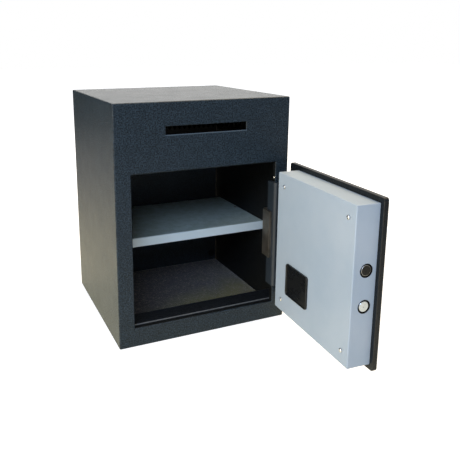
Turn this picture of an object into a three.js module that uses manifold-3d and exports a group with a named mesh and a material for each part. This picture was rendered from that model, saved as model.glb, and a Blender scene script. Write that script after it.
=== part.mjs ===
// Deposit safe with a slot, one shelf and an inset door on a concealed gooseneck hinge.
// Millimetres, +Z up. The origin is the middle of the cabinet's underside, the front faces -Y,
// and the door is drawn shut and then swung open about its pin.

import * as THREE from 'three';
import { mergeVertices } from 'three/addons/utils/BufferGeometryUtils.js';
import Module from 'manifold-3d';

const wasm = await Module();
wasm.setup();

// Clearances
const SEAT = 0.3; // between pieces that are welded, screwed or pressed together
const RUNNING = 0.1; // radial, between a pin and its bore
const SLIDING = 0.35; // around sliding pieces
const OVERCUT = 5; // how far a cutting tool runs past the face that it cuts

// Cabinet
const CABINET_WIDTH = 350;
const CABINET_DEPTH = 326;
const CABINET_HEIGHT = 455;
const SHEET = 2;
const CABINET_CORNER = 3;
const CABINET_EASE = 1.2;

// Door opening, a square hole with a folded reveal and a stop frame behind it
const LEFT_STILE = 30;
const RIGHT_STILE = 28;
const SILL_HEIGHT = 37.5;
const OPENING_WIDTH = CABINET_WIDTH - LEFT_STILE - RIGHT_STILE;
const FASCIA_HEIGHT = 125.5; // the front above the opening
const OPENING_HEIGHT = CABINET_HEIGHT - SILL_HEIGHT - FASCIA_HEIGHT;
const STOP_LIP = 3;
const STOP_CLEARANCE = 0.5;
const FRAME_SHEET = 2;
const FRAME_UPSTAND = 20;

// Deposit slot and what guards it
const SLOT_WIDTH = 160;
const SLOT_HEIGHT = 15;
const SLOT_DROP = 44;
const GUARD_SHEET = 2;
const GUARD_OVERHANG = 20;
const CHUTE_FLANGE = 17;
const CHUTE_LEVEL = 24;
const CHUTE_REACH = 74;
const CHUTE_FALL = 42;
const GUARD_SETBACK = 62;
const GUARD_FLANGE = 28;
const GUARD_LENGTH = 58;
const TOOTH_PITCH = 10;
const TOOTH_HEIGHT = 8;

// Anchor holes
const ANCHOR_RADIUS = 6;
const FLOOR_ANCHOR_SPAN_X = 220;
const FLOOR_ANCHOR_SPAN_Y = 150;
const BACK_ANCHOR_EDGE = 12;
const BACK_ANCHOR_HEIGHT = 28;
const PLUG_FLANGE = 3;
const PLUG_THICKNESS = 1.5;

// Shelf, rails and mat
const SHELF_HEIGHT = 182;
const SHELF_SETBACK = 84;
const SHELF_DEPTH = 216;
const SHELF_SIDE_GAP = 1.5;
const SHELF_SHEET = 1.5;
const SHELF_LIP = 18;
const RAIL_LEG = 14;
const RAIL_SHEET = 2;
const RAIL_MARGIN = 12;
const SHELF_SCREW_INSET = 9;
const SHELF_SCREW_SETBACK = 201;
const SHELF_SCREW_RADIUS = 1.5;
const SHELF_SCREW_HEAD = 3;
const MAT_THICKNESS = 9;
const MAT_MARGIN = 1;

// Door plate
const PLATE_THICKNESS = 9;
const PLATE_GAP = 1.5;
const HINGE_GAP = 7;
const PLATE_CORNER = 5;
const PLATE_EASE = 0.8;
const DOOR_ANGLE = 86.7;

// Door pan, the cover over the lock work
const PAN_DEPTH = 42.6;
const PAN_HINGE_MARGIN = 32.3;
const PAN_FREE_MARGIN = 8;
const PAN_TOP_MARGIN = 9.3;
const PAN_SHEET = 1.5;
const PAN_CORNER = 1.6;
const PAN_EASE = 1;
const SCREW_INSET_FREE = 19.5;
const SCREW_INSET_HINGE = 24.2;
const SCREW_INSET_Z = 23.5;
const SCREW_RADIUS = 2;
const SCREW_HEAD_RADIUS = 3.6;
const SCREW_HEAD_HEIGHT = 2.2;
const SCREW_BITE = 6;
const CROSS_WIDTH = 0.9;
const CROSS_DEPTH = 1;

// Gooseneck hinge
const PIN_INSET = 20; // from the jamb into the stile's pocket
const PIN_SETBACK = 19; // behind the cabinet's front face
const PIN_RADIUS = 3.5;
const PIN_HEAD = 2;
const ARM_THICKNESS = 7;
const ARM_FRONT_OFFSET = 29.4; // pin axis to the inner face of the leg on the plate
const ARM_REAR_OFFSET = 21; // pin axis to the inner face of the leg in the pocket
const ARM_END = 8;
const ARM_HEIGHT = 213;
const ARM_BEND = 8;
const KNUCKLE_RADIUS = 5.3;
const KNUCKLE_HEIGHT = 95;
const KNUCKLE_THICKNESS = 5;
const KNUCKLE_REACH = 27.6;
const KNUCKLE_BEND = 6.7;
const LUG_THICKNESS = 5;
const LUG_REACH = 8;
const LUG_CLEARANCE = 0.4;
const RIVET_RADIUS = 2.5;
const RIVET_HEIGHT = 1.2;
const RIVET_SHANK = 1.2;
const RIVET_FROM_TOP = 32.5; // from the opening's top edge

// Boltwork
const LOCK_DROP = 1.3; // the lock's middle under the plate's middle
const BOLT_RADIUS = 10;
const BOLT_PITCH = 60;
const BOLT_SETBACK = 27.5;
const BOLT_LENGTH = 36;
const BOLT_CHAMFER = 1.2;
const BOLT_HOLE_CLEARANCE = 1;
const STRIKE_CLEARANCE = 2;
const BOLT_THROW = 15;
const SPIGOT_RADIUS = 4.5;
const SPIGOT_LENGTH = 8;
const GUIDE_THICKNESS = 16;
const GUIDE_WALL = 7;
const GUIDE_BACK = 4;
const CARRIAGE_BAR_WIDTH = 12;
const CARRIAGE_BAR_DEPTH = 14;
const CARRIAGE_OVERHANG = 14;
const CARRIAGE_ARM_LENGTH = 52;
const CARRIAGE_ARM_THICKNESS = 6;
const CARRIAGE_ARM_BELOW = 14;
const CARRIAGE_ARM_ABOVE = 24;
const STUD_RADIUS = 4;
const STUD_FROM_BAR = 10;
const STUD_DROP = 7;
const STUD_HEAD_RADIUS = 6;
const STUD_HEAD_HEIGHT = 2;

// Knob, spindle and crank
const KNOB_TURN = 80;
const SPINDLE_FROM_FREE_EDGE = 83.5;
const SPINDLE_RADIUS = 5;
const CAM_HUB_RADIUS = 9;
const CAM_BOSS_RADIUS = 6.5;
const CAM_THICKNESS = 5;
const CABLE_HOLE_FROM_SPINDLE = 34;
const CAM_SETBACK = 14.5;
const CRANK_PIN_RADIUS = 4;
const KNOB_RADIUS = 21;
const KNOB_SKIRT = 6;
const KNOB_HEIGHT = 20;
const KNOB_GRIP_WIDTH = 11;
const KNOB_EASE = 1.5;

// Solenoid that blocks the carriage
const PLUNGER_RADIUS = 3;
const PLUNGER_LENGTH = 30;
const PLUNGER_GAP = 1;
const PLUNGER_FROM_SPINDLE = 2;
const SOLENOID_WIDTH = 24;
const SOLENOID_HEIGHT = 38;
const NOTCH_DEPTH = 6;
const SOLENOID_BEHIND = 9;

// Battery hatch
const COVER_WIDTH = 74;
const COVER_HEIGHT = 62;
const COVER_FROM_HINGE_EDGE = 76.3;
const COVER_BOTTOM = 91.5;
const COVER_THICKNESS = 3.5;
const COVER_RIM = 3;
const COVER_DISH = 1.5;
const COVER_CORNER = 5;
const TRAY_WALL = 1.5;
const BATTERY_COUNT = 4;
const BATTERY_RADIUS = 7.1;
const BATTERY_LENGTH = 49;
const BATTERY_NUB_RADIUS = 2.7;
const BATTERY_NUB = 1.2;

// Keypad
const HOUSING_THICKNESS = 14;
const HOUSING_WALL = 2.5;
const HOUSING_HEIGHT = 92;
const HOUSING_LEFT = 34;
const HOUSING_RIGHT = 108;
const HOUSING_CORNER = 12;
const HOUSING_EASE = 3;
const BOARD_THICKNESS = 1.6;
const BOARD_MARGIN = 4;
const KEY_WIDTH = 14.4;
const KEY_HEIGHT = 12.4;
const KEY_CORNER = 3;
const KEY_EASE = 0.8;
const KEY_PROUD = 1.5;
const KEY_TRAVEL = 1.2;
const KEY_PITCH_X = 19;
const KEY_PITCH_Z = 18;
const KEYS_FROM_SPINDLE = 72;
const LENS_RADIUS = 2.5;
const LENS_FROM_SPINDLE = 33;
const KEY_NAMES = [
  ['key_1', 'key_2', 'key_3'],
  ['key_4', 'key_5', 'key_6'],
  ['key_7', 'key_8', 'key_9'],
  ['key_clear', 'key_0', 'key_enter'],
];

// Faceting of round shapes
const ROUND = 32;
const SMALL_ROUND = 20;
const CORNER_STEPS = 3;

// Places worked out from the sizes above
const HALF_WIDTH = CABINET_WIDTH / 2;
const FRONT = -CABINET_DEPTH / 2;
const BACK = CABINET_DEPTH / 2;
const WALL = HALF_WIDTH - SHEET; // inner face of each side
const ROOF = CABINET_HEIGHT - SHEET;
const OPENING_LEFT = -HALF_WIDTH + LEFT_STILE;
const OPENING_RIGHT = OPENING_LEFT + OPENING_WIDTH;
const OPENING_TOP = SILL_HEIGHT + OPENING_HEIGHT;
const OPENING_MIDDLE = (OPENING_LEFT + OPENING_RIGHT) / 2;
const SLOT_TOP = CABINET_HEIGHT - SLOT_DROP;
const SLOT_BOTTOM = SLOT_TOP - SLOT_HEIGHT;
const STOP_FACE = FRONT + PLATE_THICKNESS + STOP_CLEARANCE;
const FRAME_REAR = FRONT + PLATE_THICKNESS + PAN_DEPTH;
const RIVET_CENTRE = [FRONT + PLATE_THICKNESS / 2, OPENING_TOP - RIVET_FROM_TOP];

const PLATE_RIGHT = OPENING_RIGHT - HINGE_GAP;
const PLATE_LEFT = OPENING_LEFT + PLATE_GAP;
const PLATE_BOTTOM = SILL_HEIGHT + PLATE_GAP;
const PLATE_TOP = OPENING_TOP - PLATE_GAP;
const PLATE_MIDDLE = (PLATE_BOTTOM + PLATE_TOP) / 2;
const PLATE_INNER = FRONT + PLATE_THICKNESS;
const LOCK_MIDDLE = PLATE_MIDDLE - LOCK_DROP;
const PAN_RIGHT = PLATE_RIGHT - PAN_HINGE_MARGIN;
const PAN_LEFT = PLATE_LEFT + PAN_FREE_MARGIN;
const PAN_BOTTOM = PLATE_BOTTOM + PAN_TOP_MARGIN;
const PAN_TOP = PLATE_TOP - PAN_TOP_MARGIN;
const PAN_OPEN = PLATE_INNER + SEAT;
const PAN_FACE = PLATE_INNER + PAN_DEPTH;

const PIN_X = OPENING_RIGHT + PIN_INSET;
const PIN_Y = FRONT + PIN_SETBACK;
const KNUCKLE_BOTTOM = PLATE_MIDDLE - KNUCKLE_HEIGHT / 2;
const KNUCKLE_TOP = PLATE_MIDDLE + KNUCKLE_HEIGHT / 2;

const BOLT_Y = FRONT + BOLT_SETBACK;
const BOLT_END = PAN_LEFT - SEAT;
const BAR_LEFT = BOLT_END + BOLT_LENGTH;
const BAR_RIGHT = BAR_LEFT + CARRIAGE_BAR_WIDTH;
const SPINDLE_X = PLATE_LEFT + SPINDLE_FROM_FREE_EDGE;
const HALF_TURN = THREE.MathUtils.degToRad(KNOB_TURN / 2);
const CRANK = BOLT_THROW / (2 * Math.sin(HALF_TURN));

const COVER_RIGHT = PLATE_RIGHT - COVER_FROM_HINGE_EDGE;
const COVER_X = COVER_RIGHT - COVER_WIDTH / 2;
const COVER_Z = COVER_BOTTOM + COVER_HEIGHT / 2;
const HOUSING_BACK = FRONT - SEAT;
const HOUSING_FACE = HOUSING_BACK - HOUSING_THICKNESS;

// Turns a closed three.js geometry into a solid that can be joined and cut.
function solidOf(geometry) {
  const bare = geometry.clone();
  bare.deleteAttribute('normal');
  bare.deleteAttribute('uv');
  const merged = mergeVertices(bare, 1e-4);
  const vertProperties = new Float32Array(merged.attributes.position.array);
  const triVerts = new Uint32Array(merged.index.array);
  return new wasm.Manifold(new wasm.Mesh({ numProp: 3, vertProperties, triVerts }));
}

// Turns a solid back into a geometry.
function geometryOf(solid) {
  const mesh = solid.getMesh();
  const geometry = new THREE.BufferGeometry();
  geometry.setAttribute('position', new THREE.BufferAttribute(mesh.vertProperties, 3));
  geometry.setIndex(new THREE.BufferAttribute(mesh.triVerts, 1));
  geometry.computeVertexNormals();
  return geometry;
}

// Cuts the tools out of the base.
function cut(base, ...tools) {
  let solid = solidOf(base);
  for (const tool of tools) solid = solid.subtract(solidOf(tool));
  return geometryOf(solid);
}

// Joins geometries that overlap into one body.
function join(...pieces) {
  let solid = solidOf(pieces[0]);
  for (const piece of pieces.slice(1)) solid = solid.add(solidOf(piece));
  return geometryOf(solid);
}

// A box from its two corners.
function block(x0, x1, y0, y1, z0, z1) {
  const box = new THREE.BoxGeometry(x1 - x0, y1 - y0, z1 - z0);
  return box.translate((x0 + x1) / 2, (y0 + y1) / 2, (z0 + z1) / 2);
}

// How a flat outline's x, y and depth turn to run along each axis.
const ALONG = {
  x: [new THREE.Vector3(0, 1, 0), new THREE.Vector3(0, 0, 1), new THREE.Vector3(1, 0, 0)],
  y: [new THREE.Vector3(-1, 0, 0), new THREE.Vector3(0, 0, 1), new THREE.Vector3(0, 1, 0)],
  z: [new THREE.Vector3(1, 0, 0), new THREE.Vector3(0, 1, 0), new THREE.Vector3(0, 0, 1)],
};

// Extrudes an outline along an axis between two places, with eased ends if asked.
// Along x the outline is (y, z), along z it is (x, y), and along y it is (-x, z).
function extrude(axis, shape, from, to, ease = 0) {
  const geometry = new THREE.ExtrudeGeometry(shape, {
    depth: to - from - 2 * ease,
    curveSegments: CORNER_STEPS,
    bevelEnabled: ease > 0,
    bevelThickness: ease,
    bevelSize: ease,
    bevelOffset: -ease,
    bevelSegments: Math.ceil(ease),
  });
  geometry.translate(0, 0, from + ease);
  return geometry.applyMatrix4(new THREE.Matrix4().makeBasis(...ALONG[axis]));
}

// A rectangle with round corners about a centre.
function roundedRectangle(cx, cy, width, height, radius) {
  const left = cx - width / 2;
  const right = cx + width / 2;
  const low = cy - height / 2;
  const high = cy + height / 2;
  const shape = new THREE.Shape();
  shape.absarc(right - radius, low + radius, radius, -Math.PI / 2, 0);
  shape.absarc(right - radius, high - radius, radius, 0, Math.PI / 2);
  shape.absarc(left + radius, high - radius, radius, Math.PI / 2, Math.PI);
  shape.absarc(left + radius, low + radius, radius, Math.PI, Math.PI * 1.5);
  return shape;
}

// A slab seen square from the front: its middle, its size, its corners and its two faces in y.
function slab(x, z, width, height, radius, y0, y1, ease = 0) {
  return extrude('y', roundedRectangle(-x, z, width, height, radius), y0, y1, ease);
}

// A round bar along an axis: its centre line and its two ends.
function rod(axis, radius, centre, from, to, segments = ROUND) {
  const bar = new THREE.CylinderGeometry(radius, radius, to - from, segments);
  const middle = (from + to) / 2;
  if (axis === 'x') return bar.rotateZ(Math.PI / 2).translate(middle, centre[0], centre[1]);
  if (axis === 'y') return bar.translate(centre[0], middle, centre[1]);
  return bar.rotateX(Math.PI / 2).translate(centre[0], centre[1], middle);
}

// The outline of a folded sheet: the path of its left face and its thickness to the right.
function sheetOutline(path, thickness) {
  const points = path.map(([x, y]) => new THREE.Vector2(x, y));
  const side = (a, b) => {
    const along = b.clone().sub(a).normalize();
    return new THREE.Vector2(along.y, -along.x);
  };
  const offset = points.map((point, i) => {
    const before = side(points[Math.max(i - 1, 0)], points[Math.max(i, 1)]);
    const after = side(points[Math.min(i, points.length - 2)], points[Math.min(i + 1, points.length - 1)]);
    const sum = before.add(after);
    return point.clone().addScaledVector(sum, (2 * thickness) / sum.lengthSq());
  });
  return new THREE.Shape([...points, ...offset.reverse()]);
}

// A body of revolution about a line along an axis, from pairs of a radius and a place along it.
function turned(axis, centre, profile, segments = ROUND) {
  const points = profile.map(([radius, height]) => new THREE.Vector2(radius, height));
  const body = new THREE.LatheGeometry(points, segments);
  if (axis === 'x') return body.rotateZ(-Math.PI / 2).translate(0, centre[0], centre[1]);
  if (axis === 'y') return body.translate(centre[0], 0, centre[1]);
  return body.rotateX(Math.PI / 2).translate(centre[0], centre[1], 0);
}

const safe = new THREE.Group();
const hinge = new THREE.Group();
hinge.position.set(PIN_X, PIN_Y, 0);
hinge.rotation.z = THREE.MathUtils.degToRad(DOOR_ANGLE);
safe.add(hinge);
const door = new THREE.Group();
door.position.set(-PIN_X, -PIN_Y, 0);
hinge.add(door);

// Adds one named piece with a material of its own.
function addPiece(parent, name, geometry, color, roughness, metalness) {
  const material = new THREE.MeshStandardMaterial({ color, roughness, metalness });
  const mesh = new THREE.Mesh(geometry, material);
  mesh.name = name;
  parent.add(mesh);
}

// Finishes: colour, roughness and metalness
const CHARCOAL_PAINT = ['#2b3138', 0.6, 0.2];
const OLIVE_PAINT = ['#33343a', 0.65, 0.2];
const PALE_PAINT = ['#aab6c0', 0.45, 0.2];
const STEEL = ['#b9bdc0', 0.25, 1];
const DULL_STEEL = ['#6f6c66', 0.5, 0.8];
const BLACK_PLASTIC = ['#17181a', 0.45, 0];
const KEY_PLASTIC = ['#d9dcdd', 0.5, 0];
const FELT = ['#4a4743', 0.95, 0];

// Cabinet shell: front, sides, roof and floor in one folded and welded box, open at the back
function cabinetShell() {
  const middle = CABINET_HEIGHT / 2;
  const outside = slab(0, middle, CABINET_WIDTH, CABINET_HEIGHT, CABINET_CORNER, FRONT, BACK, CABINET_EASE);
  const inside = block(-WALL, WALL, FRONT + SHEET, BACK + OVERCUT, SHEET, ROOF);
  const box = cut(outside, inside);
  const reveal = block(
    OPENING_LEFT - SHEET, OPENING_RIGHT + SHEET,
    FRONT + SHEET / 2, STOP_FACE - SEAT,
    SILL_HEIGHT - SHEET, OPENING_TOP + SHEET,
  );
  const opening = block(
    OPENING_LEFT, OPENING_RIGHT,
    FRONT - OVERCUT, STOP_FACE + OVERCUT,
    SILL_HEIGHT, OPENING_TOP,
  );
  const slot = block(
    OPENING_MIDDLE - SLOT_WIDTH / 2, OPENING_MIDDLE + SLOT_WIDTH / 2,
    FRONT - OVERCUT, FRONT + SHEET + OVERCUT,
    SLOT_BOTTOM, SLOT_TOP,
  );
  const anchors = [];
  for (const sx of [-1, 1]) {
    for (const sy of [-1, 1]) {
      const centre = [sx * FLOOR_ANCHOR_SPAN_X / 2, sy * FLOOR_ANCHOR_SPAN_Y / 2];
      anchors.push(rod('z', ANCHOR_RADIUS, centre, -OVERCUT, SHEET + OVERCUT, SMALL_ROUND));
    }
  }
  const rivetHole = rod('x', RIVET_SHANK + SEAT, RIVET_CENTRE, OPENING_RIGHT - OVERCUT,
    OPENING_RIGHT + SHEET + OVERCUT, SMALL_ROUND);
  return cut(join(box, reveal), opening, slot, rivetHole, ...anchors);
}

// Rivet in the hinge side's reveal, above the arm
function jambRivet() {
  const seat = OPENING_RIGHT - SEAT;
  return turned('x', RIVET_CENTRE, [
    [0, seat - RIVET_HEIGHT],
    [RIVET_RADIUS * 0.7, seat - RIVET_HEIGHT * 0.85],
    [RIVET_RADIUS, seat - RIVET_HEIGHT / 3],
    [RIVET_RADIUS, seat],
    [RIVET_SHANK, seat],
    [RIVET_SHANK, OPENING_RIGHT + SHEET],
    [0, OPENING_RIGHT + SHEET],
  ], SMALL_ROUND);
}

// Back panel, set between the walls, with an anchor hole near each lower corner
const BACK_ANCHORS = [-1, 1].map((side) => [side * (WALL - BACK_ANCHOR_EDGE), BACK_ANCHOR_HEIGHT]);

function backPanel() {
  const panel = block(-WALL + SEAT, WALL - SEAT, BACK - SHEET, BACK, SHEET + SEAT, ROOF - SEAT);
  const holes = BACK_ANCHORS.map((centre) => (
    rod('y', ANCHOR_RADIUS, centre, BACK - SHEET - OVERCUT, BACK + OVERCUT, SMALL_ROUND)
  ));
  return cut(panel, ...holes);
}

// Plug for an anchor hole, pressed in from the inside
function backPlug(centre) {
  const face = BACK - SHEET - SEAT;
  return turned('y', centre, [
    [0, face - PLUG_THICKNESS],
    [ANCHOR_RADIUS + PLUG_FLANGE, face - PLUG_THICKNESS],
    [ANCHOR_RADIUS + PLUG_FLANGE, face],
    [ANCHOR_RADIUS - SEAT, face],
    [ANCHOR_RADIUS - SEAT, BACK],
    [0, BACK],
  ], SMALL_ROUND);
}

// Stop frame: folded channels whose lips stand STOP_LIP into the opening
function frameSill() {
  const top = SILL_HEIGHT + STOP_LIP;
  const path = [
    [STOP_FACE, SILL_HEIGHT - FRAME_UPSTAND],
    [STOP_FACE, top],
    [FRAME_REAR, top],
    [FRAME_REAR, SHEET + SEAT],
  ];
  return extrude('x', sheetOutline(path, FRAME_SHEET), -WALL + SEAT, WALL - SEAT);
}

function frameHead() {
  const low = OPENING_TOP - STOP_LIP;
  const path = [
    [FRAME_REAR, OPENING_TOP + FRAME_UPSTAND],
    [FRAME_REAR, low],
    [STOP_FACE, low],
    [STOP_FACE, OPENING_TOP + FRAME_UPSTAND],
  ];
  return extrude('x', sheetOutline(path, FRAME_SHEET), -WALL + SEAT, WALL - SEAT);
}

function strikeJamb() {
  const face = OPENING_LEFT + STOP_LIP;
  const path = [
    [-WALL + SEAT, FRAME_REAR],
    [face, FRAME_REAR],
    [face, STOP_FACE],
    [OPENING_LEFT - FRAME_UPSTAND / 2, STOP_FACE],
  ];
  const low = SILL_HEIGHT + STOP_LIP + SEAT;
  const high = OPENING_TOP - STOP_LIP - SEAT;
  const channel = extrude('z', sheetOutline(path, FRAME_SHEET), low, high);
  const holes = [-1, 1].map((side) => (
    rod('x', BOLT_RADIUS + STRIKE_CLEARANCE, [BOLT_Y, LOCK_MIDDLE + side * BOLT_PITCH / 2],
      face - FRAME_SHEET - OVERCUT, face + OVERCUT)
  ));
  return cut(channel, ...holes);
}

// Hinge lug: a plate behind the stile, against the front sheet and the side, that holds the pin
function hingeLug(low) {
  const plate = block(
    PIN_X - LUG_REACH, WALL - SEAT,
    FRONT + SHEET + SEAT, PIN_Y + LUG_REACH,
    low, low + LUG_THICKNESS,
  );
  const bore = rod('z', PIN_RADIUS + RUNNING, [PIN_X, PIN_Y], low - OVERCUT, low + LUG_THICKNESS + OVERCUT,
    SMALL_ROUND);
  return cut(plate, bore);
}

const LOWER_LUG = KNUCKLE_BOTTOM - LUG_CLEARANCE - LUG_THICKNESS;
const UPPER_LUG = KNUCKLE_TOP + LUG_CLEARANCE;

// Hinge pin with a head that rests on the upper lug
function hingePin() {
  const top = UPPER_LUG + LUG_THICKNESS + SEAT;
  const shank = rod('z', PIN_RADIUS, [PIN_X, PIN_Y], LOWER_LUG - PIN_HEAD, top + PIN_HEAD / 2, SMALL_ROUND);
  const head = rod('z', KNUCKLE_RADIUS, [PIN_X, PIN_Y], top, top + PIN_HEAD, SMALL_ROUND);
  return join(shank, head);
}

// Hole for a shelf screw, through the shelf and the rail under it
function shelfScrewHole(side) {
  const centre = [side * (WALL - SHELF_SCREW_INSET), FRONT + SHELF_SCREW_SETBACK];
  return rod('z', SHELF_SCREW_RADIUS + SEAT, centre, SHELF_HEIGHT - RAIL_LEG, SHELF_HEIGHT + OVERCUT,
    SMALL_ROUND);
}

// Shelf: a sheet with a deep front lip and the same lip at the back, open at the sides
function shelf() {
  const front = FRONT + SHELF_SETBACK;
  const back = front + SHELF_DEPTH;
  const path = [
    [front, SHELF_HEIGHT - SHELF_LIP],
    [front, SHELF_HEIGHT],
    [back, SHELF_HEIGHT],
    [back, SHELF_HEIGHT - SHELF_LIP],
  ];
  const half = WALL - SHELF_SIDE_GAP;
  const sheet = extrude('x', sheetOutline(path, SHELF_SHEET), -half, half);
  return cut(sheet, shelfScrewHole(-1), shelfScrewHole(1));
}

// Shelf rail: an angle on the side wall under the shelf's sheet
function shelfRail(side) {
  const top = SHELF_HEIGHT - SHELF_SHEET - SEAT;
  const wall = side * (WALL - SEAT);
  const front = FRONT + SHELF_SETBACK + RAIL_MARGIN;
  const back = front + SHELF_DEPTH - 2 * RAIL_MARGIN;
  const inner = wall - side * RAIL_LEG;
  const skin = wall - side * RAIL_SHEET;
  const tread = block(Math.min(wall, inner), Math.max(wall, inner), front, back, top - RAIL_SHEET, top);
  const web = block(Math.min(wall, skin), Math.max(wall, skin), front, back, top - RAIL_LEG, top);
  return cut(join(tread, web), shelfScrewHole(side));
}

// Shelf screw: a domed head on the shelf and a shank down through the rail
function shelfScrew(side) {
  const seat = SHELF_HEIGHT + SEAT;
  const tip = SHELF_HEIGHT - SHELF_SHEET - SEAT - RAIL_SHEET;
  return turned('z', [side * (WALL - SHELF_SCREW_INSET), FRONT + SHELF_SCREW_SETBACK], [
    [0, tip],
    [SHELF_SCREW_RADIUS, tip],
    [SHELF_SCREW_RADIUS, seat],
    [SHELF_SCREW_HEAD, seat],
    [SHELF_SCREW_HEAD * 0.8, seat + SHELF_SCREW_RADIUS * 0.7],
    [0, seat + SHELF_SCREW_RADIUS],
  ], SMALL_ROUND);
}

// Felt mat on the floor, cut to fit behind the sill
function floorMat() {
  const half = WALL - MAT_MARGIN;
  const front = FRAME_REAR + MAT_MARGIN;
  const back = BACK - SHEET - MAT_MARGIN;
  return block(-half, half, front, back, SHEET + SEAT, SHEET + SEAT + MAT_THICKNESS);
}

// Slot chute: carries what is posted back and down, away from the slot
function slotChute() {
  const top = SLOT_BOTTOM - OVERCUT / 2;
  const face = FRONT + SHEET + SEAT;
  const path = [
    [face, top - CHUTE_FLANGE],
    [face, top],
    [face + CHUTE_LEVEL, top],
    [face + CHUTE_REACH, top - CHUTE_FALL],
  ];
  const half = SLOT_WIDTH / 2 + GUARD_OVERHANG;
  return extrude('x', sheetOutline(path, GUARD_SHEET), OPENING_MIDDLE - half, OPENING_MIDDLE + half);
}

// Fishing guard: hangs from the roof behind the slot, with saw teeth that bite what is pulled back
function fishingGuard() {
  const top = ROOF - SEAT;
  const face = FRONT + GUARD_SETBACK;
  const low = top - GUARD_LENGTH;
  const half = SLOT_WIDTH / 2 + GUARD_OVERHANG;
  const left = OPENING_MIDDLE - half;
  const path = [
    [face - GUARD_FLANGE, top],
    [face, top],
    [face, low],
  ];
  const sheet = extrude('x', sheetOutline(path, GUARD_SHEET), left, left + 2 * half);
  const count = Math.floor((2 * half) / TOOTH_PITCH);
  const comb = new THREE.Shape();
  comb.moveTo(-left, low - OVERCUT);
  for (let i = 0; i < count; i += 1) {
    const edge = -left - i * TOOTH_PITCH;
    comb.lineTo(edge, low);
    comb.lineTo(edge - TOOTH_PITCH / 2, low + TOOTH_HEIGHT);
  }
  comb.lineTo(-left - count * TOOTH_PITCH, low);
  comb.lineTo(-left - count * TOOTH_PITCH, low - OVERCUT);
  const gaps = extrude('y', comb, face - GUARD_SHEET - OVERCUT, face + OVERCUT);
  return cut(sheet, gaps);
}

// Door plate with the holes that the lock needs
const PAN_SCREWS = [];
for (const x of [PAN_LEFT + SCREW_INSET_FREE, PAN_RIGHT - SCREW_INSET_HINGE]) {
  for (const z of [PAN_BOTTOM + SCREW_INSET_Z, PAN_TOP - SCREW_INSET_Z]) PAN_SCREWS.push([x, z]);
}

function doorPlate() {
  const width = PLATE_RIGHT - PLATE_LEFT;
  const height = PLATE_TOP - PLATE_BOTTOM;
  const x = (PLATE_LEFT + PLATE_RIGHT) / 2;
  const plate = slab(x, PLATE_MIDDLE, width, height, PLATE_CORNER, FRONT, PLATE_INNER, PLATE_EASE);
  const through = [FRONT - OVERCUT, PLATE_INNER + OVERCUT];
  const spindleHole = rod('y', SPINDLE_RADIUS + SEAT, [SPINDLE_X, LOCK_MIDDLE], ...through, SMALL_ROUND);
  const cableHole = rod('y', SPINDLE_RADIUS, [SPINDLE_X + CABLE_HOLE_FROM_SPINDLE, LOCK_MIDDLE], ...through,
    SMALL_ROUND);
  const tapped = PAN_SCREWS.map((centre) => (
    rod('y', SCREW_RADIUS + SEAT, centre, PLATE_INNER - SCREW_BITE - 2 * SEAT, PLATE_INNER + OVERCUT,
      SMALL_ROUND)
  ));
  return cut(plate, spindleHole, cableHole, ...tapped);
}

// Door pan: a folded tray over the lock work, open towards the plate, with a window to the batteries
const TRAY_FRONT = PAN_FACE - PAN_SHEET - SEAT;
const TRAY_DEPTH = 2 * BATTERY_RADIUS + TRAY_WALL + 2 * SEAT;
const TRAY_HALF_WIDTH = BATTERY_COUNT * (BATTERY_RADIUS + SEAT) + TRAY_WALL;
const TRAY_HALF_HEIGHT = (BATTERY_LENGTH + BATTERY_NUB) / 2 + SEAT + TRAY_WALL;

function doorPan() {
  const width = PAN_RIGHT - PAN_LEFT;
  const height = PAN_TOP - PAN_BOTTOM;
  const x = (PAN_LEFT + PAN_RIGHT) / 2;
  const z = (PAN_BOTTOM + PAN_TOP) / 2;
  const outside = slab(x, z, width, height, PAN_CORNER, PAN_OPEN - PAN_EASE, PAN_FACE, PAN_EASE);
  const trim = block(PAN_LEFT - OVERCUT, PAN_RIGHT + OVERCUT, PAN_OPEN - OVERCUT, PAN_OPEN,
    PAN_BOTTOM - OVERCUT, PAN_TOP + OVERCUT);
  const inside = block(PAN_LEFT + PAN_SHEET, PAN_RIGHT - PAN_SHEET, PAN_OPEN - OVERCUT, PAN_FACE - PAN_SHEET,
    PAN_BOTTOM + PAN_SHEET, PAN_TOP - PAN_SHEET);
  const bolts = [-1, 1].map((side) => (
    rod('x', BOLT_RADIUS + BOLT_HOLE_CLEARANCE, [BOLT_Y, LOCK_MIDDLE + side * BOLT_PITCH / 2],
      PAN_LEFT - OVERCUT, PAN_LEFT + PAN_SHEET + OVERCUT)
  ));
  const screws = PAN_SCREWS.map((centre) => (
    rod('y', SCREW_RADIUS + SEAT, centre, PAN_FACE - PAN_SHEET - OVERCUT, PAN_FACE + OVERCUT, SMALL_ROUND)
  ));
  const window = block(
    COVER_X - TRAY_HALF_WIDTH + TRAY_WALL / 2, COVER_X + TRAY_HALF_WIDTH - TRAY_WALL / 2,
    PAN_FACE - PAN_SHEET - OVERCUT, PAN_FACE + OVERCUT,
    COVER_Z - TRAY_HALF_HEIGHT + TRAY_WALL / 2, COVER_Z + TRAY_HALF_HEIGHT - TRAY_WALL / 2,
  );
  return cut(outside, trim, inside, ...bolts, ...screws, window);
}

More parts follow.
